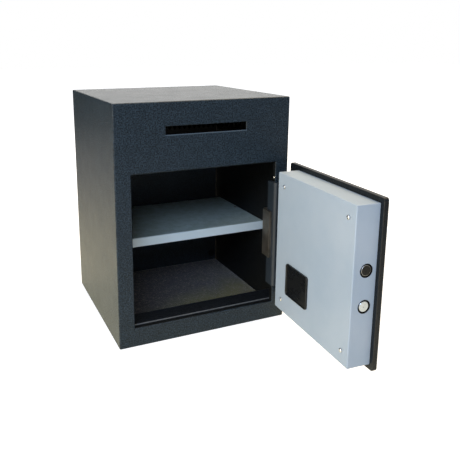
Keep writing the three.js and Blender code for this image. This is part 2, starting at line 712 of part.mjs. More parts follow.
// Pan screw: a domed head with a cross recess, and a shank that reaches into the plate
function panScrew([x, z]) {
  const seat = PAN_FACE + SEAT;
  const domed = SCREW_HEAD_HEIGHT / 2;
  const screw = turned('y', [x, z], [
    [0, PLATE_INNER - SCREW_BITE],
    [SCREW_RADIUS, PLATE_INNER - SCREW_BITE],
    [SCREW_RADIUS, seat],
    [SCREW_HEAD_RADIUS, seat],
    [SCREW_HEAD_RADIUS, seat + domed],
    [SCREW_HEAD_RADIUS * 0.8, seat + SCREW_HEAD_HEIGHT * 0.85],
    [0, seat + SCREW_HEAD_HEIGHT],
  ], SMALL_ROUND);
  const top = seat + SCREW_HEAD_HEIGHT;
  const reach = SCREW_HEAD_RADIUS * 0.55;
  const half = CROSS_WIDTH / 2;
  const level = block(x - reach, x + reach, top - CROSS_DEPTH, top + OVERCUT, z - half, z + half);
  const upright = block(x - half, x + half, top - CROSS_DEPTH, top + OVERCUT, z - reach, z + reach);
  return cut(screw, level, upright);
}

// Gooseneck arm: from the plate back past the jamb, then round behind the stile
function hingeArm() {
  const front = PLATE_INNER + SEAT;
  const outerX = PIN_X - ARM_FRONT_OFFSET - ARM_THICKNESS;
  const innerX = PIN_X - ARM_FRONT_OFFSET;
  const innerY = PIN_Y + ARM_REAR_OFFSET;
  const outerY = innerY + ARM_THICKNESS;
  const end = PIN_X - ARM_END;
  const inside = ARM_BEND - ARM_THICKNESS;
  const shape = new THREE.Shape();
  shape.moveTo(outerX, front);
  shape.lineTo(innerX, front);
  shape.absarc(innerX + inside, innerY - inside, inside, Math.PI, Math.PI / 2, true);
  shape.lineTo(end, innerY);
  shape.lineTo(end, outerY);
  shape.absarc(outerX + ARM_BEND, outerY - ARM_BEND, ARM_BEND, Math.PI / 2, Math.PI);
  return extrude('z', shape, PLATE_MIDDLE - ARM_HEIGHT / 2, PLATE_MIDDLE + ARM_HEIGHT / 2);
}

// Knuckle: lies on the arm's rear leg, turns forward along the side wall and ends round the pin
function hingeKnuckle() {
  const inner = PIN_Y + ARM_REAR_OFFSET + ARM_THICKNESS + SEAT;
  const outer = inner + KNUCKLE_THICKNESS;
  const shape = new THREE.Shape();
  shape.absarc(PIN_X, PIN_Y, KNUCKLE_RADIUS, Math.PI, 2 * Math.PI);
  shape.absarc(PIN_X + KNUCKLE_RADIUS - KNUCKLE_BEND, outer - KNUCKLE_BEND, KNUCKLE_BEND, 0, Math.PI / 2);
  shape.lineTo(PIN_X - KNUCKLE_REACH, outer);
  shape.lineTo(PIN_X - KNUCKLE_REACH, inner);
  shape.lineTo(PIN_X - KNUCKLE_RADIUS, inner);
  const body = extrude('z', shape, KNUCKLE_BOTTOM, KNUCKLE_TOP);
  const bore = rod('z', PIN_RADIUS + RUNNING, [PIN_X, PIN_Y], KNUCKLE_BOTTOM - OVERCUT,
    KNUCKLE_TOP + OVERCUT, SMALL_ROUND);
  return cut(body, bore);
}

// Bolt guide: a bored block on the plate just inside the pan
const BOLT_HEIGHTS = [LOCK_MIDDLE - BOLT_PITCH / 2, LOCK_MIDDLE + BOLT_PITCH / 2];

function boltGuide() {
  const left = PAN_LEFT + PAN_SHEET + SEAT;
  const right = left + GUIDE_THICKNESS;
  const reach = BOLT_RADIUS + GUIDE_WALL;
  const body = block(left, right, PLATE_INNER + SEAT, BOLT_Y + BOLT_RADIUS + GUIDE_BACK,
    BOLT_HEIGHTS[0] - reach, BOLT_HEIGHTS[1] + reach);
  const bores = BOLT_HEIGHTS.map((z) => (
    rod('x', BOLT_RADIUS + SLIDING, [BOLT_Y, z], left - OVERCUT, right + OVERCUT)
  ));
  return cut(body, ...bores);
}

// Locking bolt with a chamfered nose and a spigot that seats in the carriage
function lockingBolt(z) {
  return turned('x', [BOLT_Y, z], [
    [0, BOLT_END],
    [BOLT_RADIUS - BOLT_CHAMFER, BOLT_END],
    [BOLT_RADIUS, BOLT_END + BOLT_CHAMFER],
    [BOLT_RADIUS, BAR_LEFT - SEAT],
    [SPIGOT_RADIUS, BAR_LEFT - SEAT],
    [SPIGOT_RADIUS, BAR_LEFT + SPIGOT_LENGTH],
    [0, BAR_LEFT + SPIGOT_LENGTH],
  ]);
}

// Carriage: an upright bar that carries both bolts, and an arm with the crank slot, the guide slot
// and the notch that the solenoid's plunger drops into when the bolts are out
const ARM_FRONT_Y = BOLT_Y - CARRIAGE_ARM_THICKNESS / 2;
const ARM_REAR_Y = BOLT_Y + CARRIAGE_ARM_THICKNESS / 2;
const ARM_LOW = LOCK_MIDDLE - CARRIAGE_ARM_BELOW;
const STUD_X = BAR_RIGHT + STUD_FROM_BAR;
const STUD_Z = LOCK_MIDDLE - STUD_DROP;
const PLUNGER_X = SPINDLE_X - PLUNGER_FROM_SPINDLE;

function boltCarriage() {
  const bar = block(BAR_LEFT, BAR_RIGHT, BOLT_Y - CARRIAGE_BAR_DEPTH / 2, BOLT_Y + CARRIAGE_BAR_DEPTH / 2,
    BOLT_HEIGHTS[0] - CARRIAGE_OVERHANG, BOLT_HEIGHTS[1] + CARRIAGE_OVERHANG);
  const arm = block(BAR_RIGHT - SHEET, BAR_RIGHT + CARRIAGE_ARM_LENGTH, ARM_FRONT_Y, ARM_REAR_Y,
    ARM_LOW, LOCK_MIDDLE + CARRIAGE_ARM_ABOVE);
  const through = [ARM_FRONT_Y - OVERCUT, ARM_REAR_Y + OVERCUT];
  const sockets = BOLT_HEIGHTS.map((z) => (
    rod('x', SPIGOT_RADIUS + SEAT, [BOLT_Y, z], BAR_LEFT - OVERCUT, BAR_LEFT + SPIGOT_LENGTH + SEAT,
      SMALL_ROUND)
  ));
  const crankLow = CRANK * Math.cos(HALF_TURN);
  const crankWidth = 2 * (CRANK_PIN_RADIUS + SLIDING);
  const crankSlot = slab(
    SPINDLE_X + BOLT_THROW / 2, LOCK_MIDDLE + (crankLow + CRANK) / 2,
    crankWidth, crankWidth + CRANK - crankLow, CRANK_PIN_RADIUS, ...through,
  );
  const guideWidth = 2 * (STUD_RADIUS + SLIDING);
  const guideSlot = slab(
    STUD_X + BOLT_THROW / 2, STUD_Z,
    guideWidth + BOLT_THROW, guideWidth, STUD_RADIUS, ...through,
  );
  const notch = block(
    PLUNGER_X + BOLT_THROW - PLUNGER_RADIUS - SLIDING, PLUNGER_X + BOLT_THROW + PLUNGER_RADIUS + SLIDING,
    ...through, ARM_LOW - OVERCUT, ARM_LOW + NOTCH_DEPTH,
  );
  return cut(join(bar, arm), ...sockets, crankSlot, guideSlot, notch);
}

// Stud on the plate that the carriage slides along
function carriageStud() {
  return turned('y', [STUD_X, STUD_Z], [
    [0, PLATE_INNER + SEAT],
    [STUD_HEAD_RADIUS, PLATE_INNER + SEAT],
    [STUD_HEAD_RADIUS, ARM_FRONT_Y - SLIDING],
    [STUD_RADIUS, ARM_FRONT_Y - SLIDING],
    [STUD_RADIUS, ARM_REAR_Y + SLIDING],
    [STUD_HEAD_RADIUS, ARM_REAR_Y + SLIDING],
    [STUD_HEAD_RADIUS, ARM_REAR_Y + SLIDING + STUD_HEAD_HEIGHT],
    [0, ARM_REAR_Y + SLIDING + STUD_HEAD_HEIGHT],
  ], SMALL_ROUND);
}

// Cam on the spindle: a tapered lever whose crank pin works in the carriage's upright slot
const CAM_FRONT = FRONT + CAM_SETBACK;
const CAM_REAR = CAM_FRONT + CAM_THICKNESS;

function driveCam() {
  const shape = new THREE.Shape();
  shape.absarc(0, 0, CAM_HUB_RADIUS, Math.PI, 2 * Math.PI);
  shape.absarc(0, CRANK, CAM_BOSS_RADIUS, 0, Math.PI);
  const lever = extrude('y', shape, CAM_FRONT, CAM_REAR);
  const pin = rod('y', CRANK_PIN_RADIUS, [0, CRANK], CAM_REAR - SHEET, ARM_REAR_Y + STUD_HEAD_HEIGHT,
    SMALL_ROUND);
  const bore = rod('y', SPINDLE_RADIUS + SEAT, [0, 0], CAM_FRONT - OVERCUT, CAM_REAR + OVERCUT, SMALL_ROUND);
  return cut(join(lever, pin), bore).rotateY(HALF_TURN).translate(SPINDLE_X, 0, LOCK_MIDDLE);
}

const KNOB_BACK = HOUSING_FACE - SEAT;
const KNOB_FRONT = KNOB_BACK - KNOB_HEIGHT;

// Spindle from inside the knob to the back of the cam
function spindle() {
  const bore = KNOB_BACK - KNOB_HEIGHT / 2;
  return rod('y', SPINDLE_RADIUS, [SPINDLE_X, LOCK_MIDDLE], bore, CAM_REAR, SMALL_ROUND);
}

// Knob: a round skirt with a finger bar across it, leaning as it stands when the bolts are in
function knob() {
  const centre = [SPINDLE_X, LOCK_MIDDLE];
  const skirtFront = KNOB_BACK - KNOB_SKIRT;
  const skirt = turned('y', centre, [
    [0, skirtFront],
    [KNOB_RADIUS - KNOB_EASE, skirtFront],
    [KNOB_RADIUS, skirtFront + KNOB_EASE],
    [KNOB_RADIUS, KNOB_BACK],
    [0, KNOB_BACK],
  ]);
  const length = 2 * KNOB_RADIUS - 2 * KNOB_EASE;
  const grip = slab(0, 0, KNOB_GRIP_WIDTH, length, KNOB_GRIP_WIDTH / 2.2, KNOB_FRONT,
    skirtFront + KNOB_EASE, KNOB_EASE);
  grip.rotateY(HALF_TURN);
  grip.translate(SPINDLE_X, 0, LOCK_MIDDLE);
  const bore = rod('y', SPINDLE_RADIUS + SEAT, centre, KNOB_BACK - KNOB_HEIGHT / 2 - SEAT,
    KNOB_BACK + OVERCUT, SMALL_ROUND);
  return cut(join(skirt, grip), bore);
}

// Solenoid: coil in its frame on the plate, and the plunger that stands just under the carriage
const PLUNGER_TOP = ARM_LOW - PLUNGER_GAP;
const SOLENOID_TOP = PLUNGER_TOP - PLUNGER_LENGTH / 3;

function solenoidBody() {
  const body = block(
    PLUNGER_X - SOLENOID_WIDTH / 2, PLUNGER_X + SOLENOID_WIDTH / 2,
    PLATE_INNER + SEAT, BOLT_Y + SOLENOID_BEHIND,
    SOLENOID_TOP - SOLENOID_HEIGHT, SOLENOID_TOP,
  );
  const depth = PLUNGER_LENGTH + BOLT_CHAMFER + NOTCH_DEPTH;
  const bore = rod('z', PLUNGER_RADIUS + SLIDING, [PLUNGER_X, BOLT_Y], PLUNGER_TOP - depth,
    SOLENOID_TOP + OVERCUT, SMALL_ROUND);
  return cut(body, bore);
}

function solenoidPlunger() {
  return rod('z', PLUNGER_RADIUS, [PLUNGER_X, BOLT_Y], PLUNGER_TOP - PLUNGER_LENGTH, PLUNGER_TOP,
    SMALL_ROUND);
}

// Battery tray behind the hatch, with its rim against the inside of the pan
function batteryTray() {
  const outside = block(COVER_X - TRAY_HALF_WIDTH, COVER_X + TRAY_HALF_WIDTH, TRAY_FRONT - TRAY_DEPTH,
    TRAY_FRONT, COVER_Z - TRAY_HALF_HEIGHT, COVER_Z + TRAY_HALF_HEIGHT);
  const inside = block(
    COVER_X - TRAY_HALF_WIDTH + TRAY_WALL, COVER_X + TRAY_HALF_WIDTH - TRAY_WALL,
    TRAY_FRONT - TRAY_DEPTH + TRAY_WALL, TRAY_FRONT + OVERCUT,
    COVER_Z - TRAY_HALF_HEIGHT + TRAY_WALL, COVER_Z + TRAY_HALF_HEIGHT - TRAY_WALL,
  );
  return cut(outside, inside);
}

// One battery, upright in the tray, with its nub at the top or at the bottom in turn
function battery(index) {
  const pitch = 2 * (BATTERY_RADIUS + SEAT);
  const x = COVER_X + (index - (BATTERY_COUNT - 1) / 2) * pitch;
  const y = TRAY_FRONT - BATTERY_RADIUS - SEAT;
  const up = index % 2 === 0 ? 1 : -1;
  const can = rod('z', BATTERY_RADIUS, [x, y], COVER_Z - BATTERY_LENGTH / 2 - up * BATTERY_NUB / 2,
    COVER_Z + BATTERY_LENGTH / 2 - up * BATTERY_NUB / 2, SMALL_ROUND);
  const tip = COVER_Z + up * (BATTERY_LENGTH + BATTERY_NUB) / 2;
  const root = tip - up * (BATTERY_NUB + 1);
  const nub = rod('z', BATTERY_NUB_RADIUS, [x, y], Math.min(root, tip), Math.max(root, tip), SMALL_ROUND);
  return join(can, nub);
}

// Battery cover: a dished lid with a raised rim, clipped over the window
function batteryCover() {
  const back = PAN_FACE + SEAT;
  const face = back + COVER_THICKNESS;
  const lid = slab(COVER_X, COVER_Z, COVER_WIDTH, COVER_HEIGHT, COVER_CORNER, back, face, 1);
  const dish = slab(COVER_X, COVER_Z, COVER_WIDTH - 2 * COVER_RIM, COVER_HEIGHT - 2 * COVER_RIM,
    COVER_CORNER - 1, face - COVER_DISH, face + OVERCUT);
  return cut(lid, dish);
}

// Keypad housing: a shallow moulded shell on the plate with a hole for each key
const HOUSING_X = SPINDLE_X + (HOUSING_RIGHT - HOUSING_LEFT) / 2;
const HOUSING_WIDTH = HOUSING_LEFT + HOUSING_RIGHT;
const KEYS_X = SPINDLE_X + KEYS_FROM_SPINDLE;

function keyCentre(row, column) {
  return [
    KEYS_X + (column - (KEY_NAMES[0].length - 1) / 2) * KEY_PITCH_X,
    LOCK_MIDDLE - (row - (KEY_NAMES.length - 1) / 2) * KEY_PITCH_Z,
  ];
}

function keypadHousing() {
  const outside = slab(HOUSING_X, LOCK_MIDDLE, HOUSING_WIDTH, HOUSING_HEIGHT, HOUSING_CORNER,
    HOUSING_FACE, HOUSING_BACK + HOUSING_EASE, HOUSING_EASE);
  const trim = block(HOUSING_X - HOUSING_WIDTH, HOUSING_X + HOUSING_WIDTH, HOUSING_BACK,
    HOUSING_BACK + HOUSING_EASE + OVERCUT, LOCK_MIDDLE - HOUSING_HEIGHT, LOCK_MIDDLE + HOUSING_HEIGHT);
  const inside = slab(HOUSING_X, LOCK_MIDDLE, HOUSING_WIDTH - 2 * HOUSING_WALL,
    HOUSING_HEIGHT - 2 * HOUSING_WALL, HOUSING_CORNER - HOUSING_WALL,
    HOUSING_FACE + HOUSING_WALL, HOUSING_BACK + OVERCUT);
  const faceCut = [HOUSING_FACE - OVERCUT, HOUSING_FACE + HOUSING_WALL + OVERCUT];
  const holes = [];
  KEY_NAMES.forEach((names, row) => names.forEach((name, column) => {
    const [x, z] = keyCentre(row, column);
    holes.push(slab(x, z, KEY_WIDTH + 2 * SEAT, KEY_HEIGHT + 2 * SEAT, KEY_CORNER + SEAT, ...faceCut));
  }));
  holes.push(rod('y', SPINDLE_RADIUS + SEAT, [SPINDLE_X, LOCK_MIDDLE], ...faceCut, SMALL_ROUND));
  holes.push(rod('y', LENS_RADIUS + SEAT, [SPINDLE_X, LOCK_MIDDLE + LENS_FROM_SPINDLE], ...faceCut,
    SMALL_ROUND));
  return cut(outside, trim, inside, ...holes);
}

// Circuit board on the plate under the keys
function keypadBoard() {
  const halfWidth = ((KEY_NAMES[0].length - 1) * KEY_PITCH_X + KEY_WIDTH) / 2 + BOARD_MARGIN;
  const halfHeight = ((KEY_NAMES.length - 1) * KEY_PITCH_Z + KEY_HEIGHT) / 2 + BOARD_MARGIN;
  return block(KEYS_X - halfWidth, KEYS_X + halfWidth, HOUSING_BACK - BOARD_THICKNESS, HOUSING_BACK,
    LOCK_MIDDLE - halfHeight, LOCK_MIDDLE + halfHeight);
}

// Key: stands a little proud of the housing, its travel above the board
function keyCap(row, column) {
  const [x, z] = keyCentre(row, column);
  const back = HOUSING_BACK - BOARD_THICKNESS - SEAT - KEY_TRAVEL;
  return slab(x, z, KEY_WIDTH, KEY_HEIGHT, KEY_CORNER, HOUSING_FACE - KEY_PROUD, back, KEY_EASE);
}

function statusLens() {
  return rod('y', LENS_RADIUS, [SPINDLE_X, LOCK_MIDDLE + LENS_FROM_SPINDLE], HOUSING_FACE - SEAT,
    HOUSING_FACE + HOUSING_WALL, SMALL_ROUND);
}

// The cabinet and what is fixed in it
addPiece(safe, 'cabinet_shell', cabinetShell(), ...CHARCOAL_PAINT);
addPiece(safe, 'back_panel', backPanel(), ...CHARCOAL_PAINT);
addPiece(safe, 'back_plug_left', backPlug(BACK_ANCHORS[0]), ...BLACK_PLASTIC);
addPiece(safe, 'back_plug_right', backPlug(BACK_ANCHORS[1]), ...BLACK_PLASTIC);
addPiece(safe, 'frame_sill', frameSill(), ...CHARCOAL_PAINT);
addPiece(safe, 'frame_head', frameHead(), ...CHARCOAL_PAINT);
addPiece(safe, 'strike_jamb', strikeJamb(), ...CHARCOAL_PAINT);
addPiece(safe, 'hinge_lug_lower', hingeLug(LOWER_LUG), ...CHARCOAL_PAINT);
addPiece(safe, 'hinge_lug_upper', hingeLug(UPPER_LUG), ...CHARCOAL_PAINT);
addPiece(safe, 'hinge_pin', hingePin(), ...STEEL);
addPiece(safe, 'jamb_rivet', jambRivet(), ...STEEL);
addPiece(safe, 'shelf', shelf(), ...PALE_PAINT);
addPiece(safe, 'shelf_screw_left', shelfScrew(-1), ...DULL_STEEL);
addPiece(safe, 'shelf_screw_right', shelfScrew(1), ...DULL_STEEL);
addPiece(safe, 'shelf_rail_left', shelfRail(-1), ...CHARCOAL_PAINT);
addPiece(safe, 'shelf_rail_right', shelfRail(1), ...CHARCOAL_PAINT);
addPiece(safe, 'floor_mat', floorMat(), ...FELT);
addPiece(safe, 'slot_chute', slotChute(), ...OLIVE_PAINT);
addPiece(safe, 'fishing_guard', fishingGuard(), ...OLIVE_PAINT);

// The door and what rides on it
addPiece(door, 'door_plate', doorPlate(), ...CHARCOAL_PAINT);
addPiece(door, 'door_pan', doorPan(), ...PALE_PAINT);
PAN_SCREWS.forEach((centre, i) => addPiece(door, `pan_screw_${i + 1}`, panScrew(centre), ...STEEL));
addPiece(door, 'hinge_arm', hingeArm(), ...CHARCOAL_PAINT);
addPiece(door, 'hinge_knuckle', hingeKnuckle(), ...DULL_STEEL);
addPiece(door, 'bolt_guide', boltGuide(), ...DULL_STEEL);
addPiece(door, 'carriage_stud', carriageStud(), ...STEEL);
addPiece(door, 'solenoid_body', solenoidBody(), ...DULL_STEEL);
addPiece(door, 'battery_tray', batteryTray(), ...BLACK_PLASTIC);
for (let i = 0; i < BATTERY_COUNT; i += 1) addPiece(door, `battery_${i + 1}`, battery(i), ...STEEL);
addPiece(door, 'keypad_housing', keypadHousing(), ...BLACK_PLASTIC);
addPiece(door, 'keypad_board', keypadBoard(), ...OLIVE_PAINT);
addPiece(door, 'status_lens', statusLens(), ...KEY_PLASTIC);

// The moving pieces of the lock
addPiece(door, 'bolt_carriage', boltCarriage(), ...DULL_STEEL);
addPiece(door, 'bolt_lower', lockingBolt(BOLT_HEIGHTS[0]), ...STEEL);
addPiece(door, 'bolt_upper', lockingBolt(BOLT_HEIGHTS[1]), ...STEEL);
addPiece(door, 'knob', knob(), ...BLACK_PLASTIC);
addPiece(door, 'spindle', spindle(), ...STEEL);
addPiece(door, 'drive_cam', driveCam(), ...DULL_STEEL);
addPiece(door, 'solenoid_plunger', solenoidPlunger(), ...STEEL);
addPiece(door, 'battery_cover', batteryCover(), ...BLACK_PLASTIC);
KEY_NAMES.forEach((names, row) => names.forEach((name, column) => {
  addPiece(door, name, keyCap(row, column), ...KEY_PLASTIC);
}));

export default safe;
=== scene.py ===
"""Studio scene of a deposit safe with its door open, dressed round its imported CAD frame.

Sizes are in millimetres in the cabinet's own frame: +Z up, the front faces -Y, and the
origin is the middle of the underside. Door pieces are drawn with the door shut, then
swung open about the hinge pin to where the CAD frame stands at rest. The studio's own
places and sizes are in metres.
"""

import logging
import math
from collections.abc import Iterable, Sequence
from dataclasses import dataclass, field
from enum import Enum
from functools import cache, reduce

import bmesh
import bpy
from mathutils import Matrix, Vector


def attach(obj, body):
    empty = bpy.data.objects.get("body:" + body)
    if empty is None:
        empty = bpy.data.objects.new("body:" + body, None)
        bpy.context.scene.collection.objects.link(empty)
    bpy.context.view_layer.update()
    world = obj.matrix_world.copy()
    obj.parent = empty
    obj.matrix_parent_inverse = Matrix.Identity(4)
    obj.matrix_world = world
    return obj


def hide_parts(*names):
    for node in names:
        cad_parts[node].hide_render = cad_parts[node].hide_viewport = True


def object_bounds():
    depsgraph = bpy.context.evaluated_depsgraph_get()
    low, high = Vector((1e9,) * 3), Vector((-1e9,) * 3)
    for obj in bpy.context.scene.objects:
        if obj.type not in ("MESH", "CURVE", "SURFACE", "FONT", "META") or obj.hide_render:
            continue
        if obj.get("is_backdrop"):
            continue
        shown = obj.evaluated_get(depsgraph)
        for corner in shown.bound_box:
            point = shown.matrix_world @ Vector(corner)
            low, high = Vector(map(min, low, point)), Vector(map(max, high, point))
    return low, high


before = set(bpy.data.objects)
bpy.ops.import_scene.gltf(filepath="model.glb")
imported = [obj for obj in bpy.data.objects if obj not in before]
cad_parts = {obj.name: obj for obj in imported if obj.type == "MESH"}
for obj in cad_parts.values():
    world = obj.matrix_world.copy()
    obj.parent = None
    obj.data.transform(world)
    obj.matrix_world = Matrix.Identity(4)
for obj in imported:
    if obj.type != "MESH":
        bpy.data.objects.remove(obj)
cad_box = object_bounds()

LOG = logging.getLogger("deposit_safe")
MM = 0.001
# The air between a seated piece and its seat, how far a cutter stands proud of what it cuts,
# how far it reaches in, and the hair by which it is wider at its rim.
SEAT = 0.3
OVERCUT = 5.0
REACH = 7.0
SLIVER = 1e-4
# The least radius of a round corner that is drawn in.
LEAST_RADIUS = 0.02

Piece = bpy.types.Object
Tree = bpy.types.NodeTree
Node = bpy.types.Node
Socket = bpy.types.NodeSocket
Links = dict[str | int, object]
Span = tuple[float, float]
Point = tuple[float, float, float]
Outline = list[Span]
Levels = Sequence[Span]


class Axis(Enum):
    """The direction that an outline is swept along."""

    X = "x"
    Y = "y"
    Z = "z"

    def place(self, u: float, v: float, w: float) -> Vector:
        """Puts a point of an outline at a depth along the axis.

        Args:
            u: The outline's first size, in millimetres.
            v: The outline's second size, in millimetres.
            w: The depth along the axis, in millimetres.

        Returns:
            The point in metres.
        """
        if self is Axis.X:
            return Vector((w, u, v)) * MM
        if self is Axis.Y:
            return Vector((u, w, v)) * MM
        return Vector((u, v, w)) * MM


class Rim(Enum):
    """Which rims of a slab are round."""

    BOTH = "both"
    LOW = "low"
    HIGH = "high"


class Operation(Enum):
    """What a body does to another."""

    CUT = "DIFFERENCE"
    JOIN = "UNION"


@dataclass(frozen=True)
class SafeSizes:
    """The sizes that several sub-assemblies share, as in the CAD source."""

    width: float = 350.0
    depth: float = 326.0
    height: float = 455.0
    sheet: float = 2.0
    left_stile: float = 30.0
    right_stile: float = 28.0
    sill: float = 37.5
    fascia: float = 125.5
    stop_lip: float = 3.0
    stop_gap: float = 0.5
    plate_thickness: float = 9.0
    pan_depth: float = 42.6
    plate_gap: float = 1.5
    hinge_gap: float = 7.0
    pin_inset: float = 20.0
    pin_setback: float = 19.0
    door_angle: float = 86.7
    lock_drop: float = 1.3
    bolt_pitch: float = 60.0
    bolt_setback: float = 27.5
    spindle_inset: float = 83.5
    spindle_hole: float = 5.3
    keypad_thickness: float = 14.0

    @property
    def front(self) -> float:
        """The front face's place along Y."""
        return -self.depth / 2

    @property
    def back(self) -> float:
        """The back face's place along Y."""
        return self.depth / 2

    @property
    def wall(self) -> float:
        """The inner face of each side wall along X."""
        return self.width / 2 - self.sheet

    @property
    def opening(self) -> tuple[Span, Span]:
        """The opening's edges: left and right, then bottom and top."""
        across = (-self.width / 2 + self.left_stile, self.width / 2 - self.right_stile)
        return across, (self.sill, self.height - self.fascia)

    @property
    def plate(self) -> tuple[Span, Span]:
        """The shut door plate's edges: left and right, then bottom and top."""
        (left, right), (low, high) = self.opening
        gap = self.plate_gap
        return (left + gap, right - self.hinge_gap), (low + gap, high - gap)

    @property
    def plate_middle(self) -> float:
        """The door plate's middle height."""
        return sum(self.plate[1]) / 2

    @property
    def plate_inner(self) -> float:
        """The shut door plate's inner face."""
        return self.front + self.plate_thickness

    @property
    def stop_face(self) -> float:
        """The front face of the stop frame."""
        return self.plate_inner + self.stop_gap

    @property
    def pan_face(self) -> float:
        """The shut pan's inner face, level with the stop frame's rear."""
        return self.plate_inner + self.pan_depth

    @property
    def spindle(self) -> Span:
        """The knob's axis, midway between the bolts: its place along X and its height."""
        return self.plate[0][0] + self.spindle_inset, self.plate_middle - self.lock_drop

    @property
    def bolts(self) -> dict[str, Span]:
        """Each bolt's axis, with the door shut: its place along Y and its height."""
        away, height, half = self.front + self.bolt_setback, self.spindle[1], self.bolt_pitch / 2
        return {"lower": (away, height - half), "upper": (away, height + half)}

    @property
    def pin(self) -> Span:
        """The hinge pin's place along X and Y."""
        return self.opening[0][1] + self.pin_inset, self.front + self.pin_setback

    @property
    def door_open(self) -> Matrix:
        """The turn from the shut door to the open one, in metres."""
        pin = Vector((*self.pin, 0)) * MM
        turn = Matrix.Rotation(math.radians(self.door_angle), 4, "Z")
        return Matrix.Translation(pin) @ turn @ Matrix.Translation(-pin)


SAFE = SafeSizes()


# Outlines


def arc(u: float, v: float, radius: float, start: float, end: float, steps: int) -> Outline:
    """Points along an arc, both ends included.

    Args:
        u: The centre's first size.
        v: The centre's second size.
        radius: The arc's radius.
        start: The first angle, in degrees.
        end: The last angle, in degrees.
        steps: How many chords the arc has.

    Returns:
        The points, in order.
    """
    turns = (math.radians(start + (end - start) * i / steps) for i in range(steps + 1))
    return [(u + radius * math.cos(t), v + radius * math.sin(t)) for t in turns]


def softened(points: Outline, radii: Sequence[float], steps: int = 5) -> Outline:
    """Rounds the corners of an outline or an open path.

    Args:
        points: The corners.
        radii: A radius for each corner, zero where it stays sharp.
        steps: How many chords each round corner has.

    Returns:
        The points with an arc at each rounded corner.
    """
    made: Outline = []
    for i, (point, radius) in enumerate(zip(points, radii)):
        if radius <= 0:
            made.append(point)
            continue
        here = Vector(point)
        before = (Vector(points[i - 1]) - here).normalized()
        after = (Vector(points[(i + 1) % len(points)]) - here).normalized()
        half = before.angle(after) / 2
        centre = here + (before + after).normalized() * (radius / math.sin(half))
        reach = radius / math.tan(half)
        first, last = here + before * reach - centre, here + after * reach - centre
        turn = first.angle_signed(last)
        for k in range(steps + 1):
            spoke = first.copy()
            spoke.rotate(Matrix.Rotation(-turn * k / steps, 2))
            made.append(tuple(centre + spoke))
    return made


def folded_sheet(path: Outline, thickness: float, bend: float) -> Outline:
    """The outline of a folded sheet with round bends.

    Args:
        path: One face of the sheet, with the metal to its right.
        thickness: The sheet's thickness.
        bend: The inner radius of each bend.

    Returns:
        The closed outline.
    """
    points = [Vector(p) for p in path]

    def side(a: Vector, b: Vector) -> Vector:
        """The unit vector to the right of a stretch of the path."""
        along = (b - a).normalized()
        return Vector((along.y, -along.x))

    far: list[Vector] = []
    near_radii: list[float] = []
    last = len(points) - 1
    for i, point in enumerate(points):
        before = side(points[max(i - 1, 0)], points[max(i, 1)])
        after = side(points[min(i, last - 1)], points[min(i + 1, last)])
        total = before + after
        far.append(point + total * (2 * thickness / total.length_squared))
        turn = before.x * after.y - before.y * after.x
        near_radii.append((bend if turn > 0 else bend + thickness) if 0 < i < last else 0.0)
    far_radii = [(2 * bend + thickness - r) if r > 0 else 0.0 for r in near_radii]
    corners = [tuple(p) for p in points] + [tuple(p) for p in reversed(far)]
    return softened(corners, near_radii + far_radii[::-1])


def eased(low: float, high: float, radius: float, steps: int = 4, rims: Rim = Rim.BOTH) -> Outline:
    """Levels of a slab whose rims are round.

    Args:
        low: The slab's low face.
        high: The slab's high face.
        radius: The rims' radius.
        steps: How many chords each rim has.
        rims: Which rims are round.

    Returns:
        Pairs of a depth and how far the outline is drawn in there.
    """
    quarter = [math.pi / 2 * i / steps for i in range(steps + 1)]
    rim = [(radius * (1 - math.cos(t)), radius * (1 - math.sin(t))) for t in quarter]
    start = [(low + rise, inset) for rise, inset in rim]
    finish = [(high - rise, inset) for rise, inset in reversed(rim)]
    if rims is Rim.HIGH:
        start = [(low, 0.0)]
    if rims is Rim.LOW:
        finish = [(high, 0.0)]
    return start + finish


# Meshes


def mesh_object(name: str, mesh: bmesh.types.BMesh) -> Piece:
    """Turns a bmesh into an object of the scene.

    Args:
        name: The piece's name.
        mesh: The body, in metres.

    Returns:
        The new object.
    """
    bmesh.ops.remove_doubles(mesh, verts=mesh.verts, dist=1e-7)
    bmesh.ops.recalc_face_normals(mesh, faces=mesh.faces)
    data = bpy.data.meshes.new(name)
    mesh.to_mesh(data)
    mesh.free()
    piece = bpy.data.objects.new(name, data)
    bpy.context.scene.collection.objects.link(piece)
    return piece


def loft(name: str, axis: Axis, rings: Sequence[tuple[float, Outline]], capped: bool = True) -> Piece:
    """Joins outlines of equal length along an axis.

    Args:
        name: The piece's name.
        axis: The direction of the sweep.
        rings: Pairs of a depth and an outline.
        capped: False where the last outline is the first again, so that no end has to be closed.

    Returns:
        The piece.
    """
    mesh = bmesh.new()
    made = [[mesh.verts.new(axis.place(u, v, w)) for u, v in outline] for w, outline in rings]
    for lower, upper in zip(made, made[1:]):
        for i in range(len(lower)):
            k = (i + 1) % len(lower)
            mesh.faces.new((lower[i], lower[k], upper[k], upper[i]))
    if capped:
        mesh.faces.new(made[0])
        mesh.faces.new(made[-1])
    return mesh_object(name, mesh)


def prism(name: str, axis: Axis, outline: Outline, low: float, high: float) -> Piece:
    """Sweeps one outline straight between two depths."""
    return loft(name, axis, [(low, outline), (high, outline)])


def block(name: str, x: Span, y: Span, z: Span) -> Piece:
    """A plain box between three pairs of sizes, for cutting."""
    return prism(name, Axis.Z, [(x[0], y[0]), (x[1], y[0]), (x[1], y[1]), (x[0], y[1])], *z)


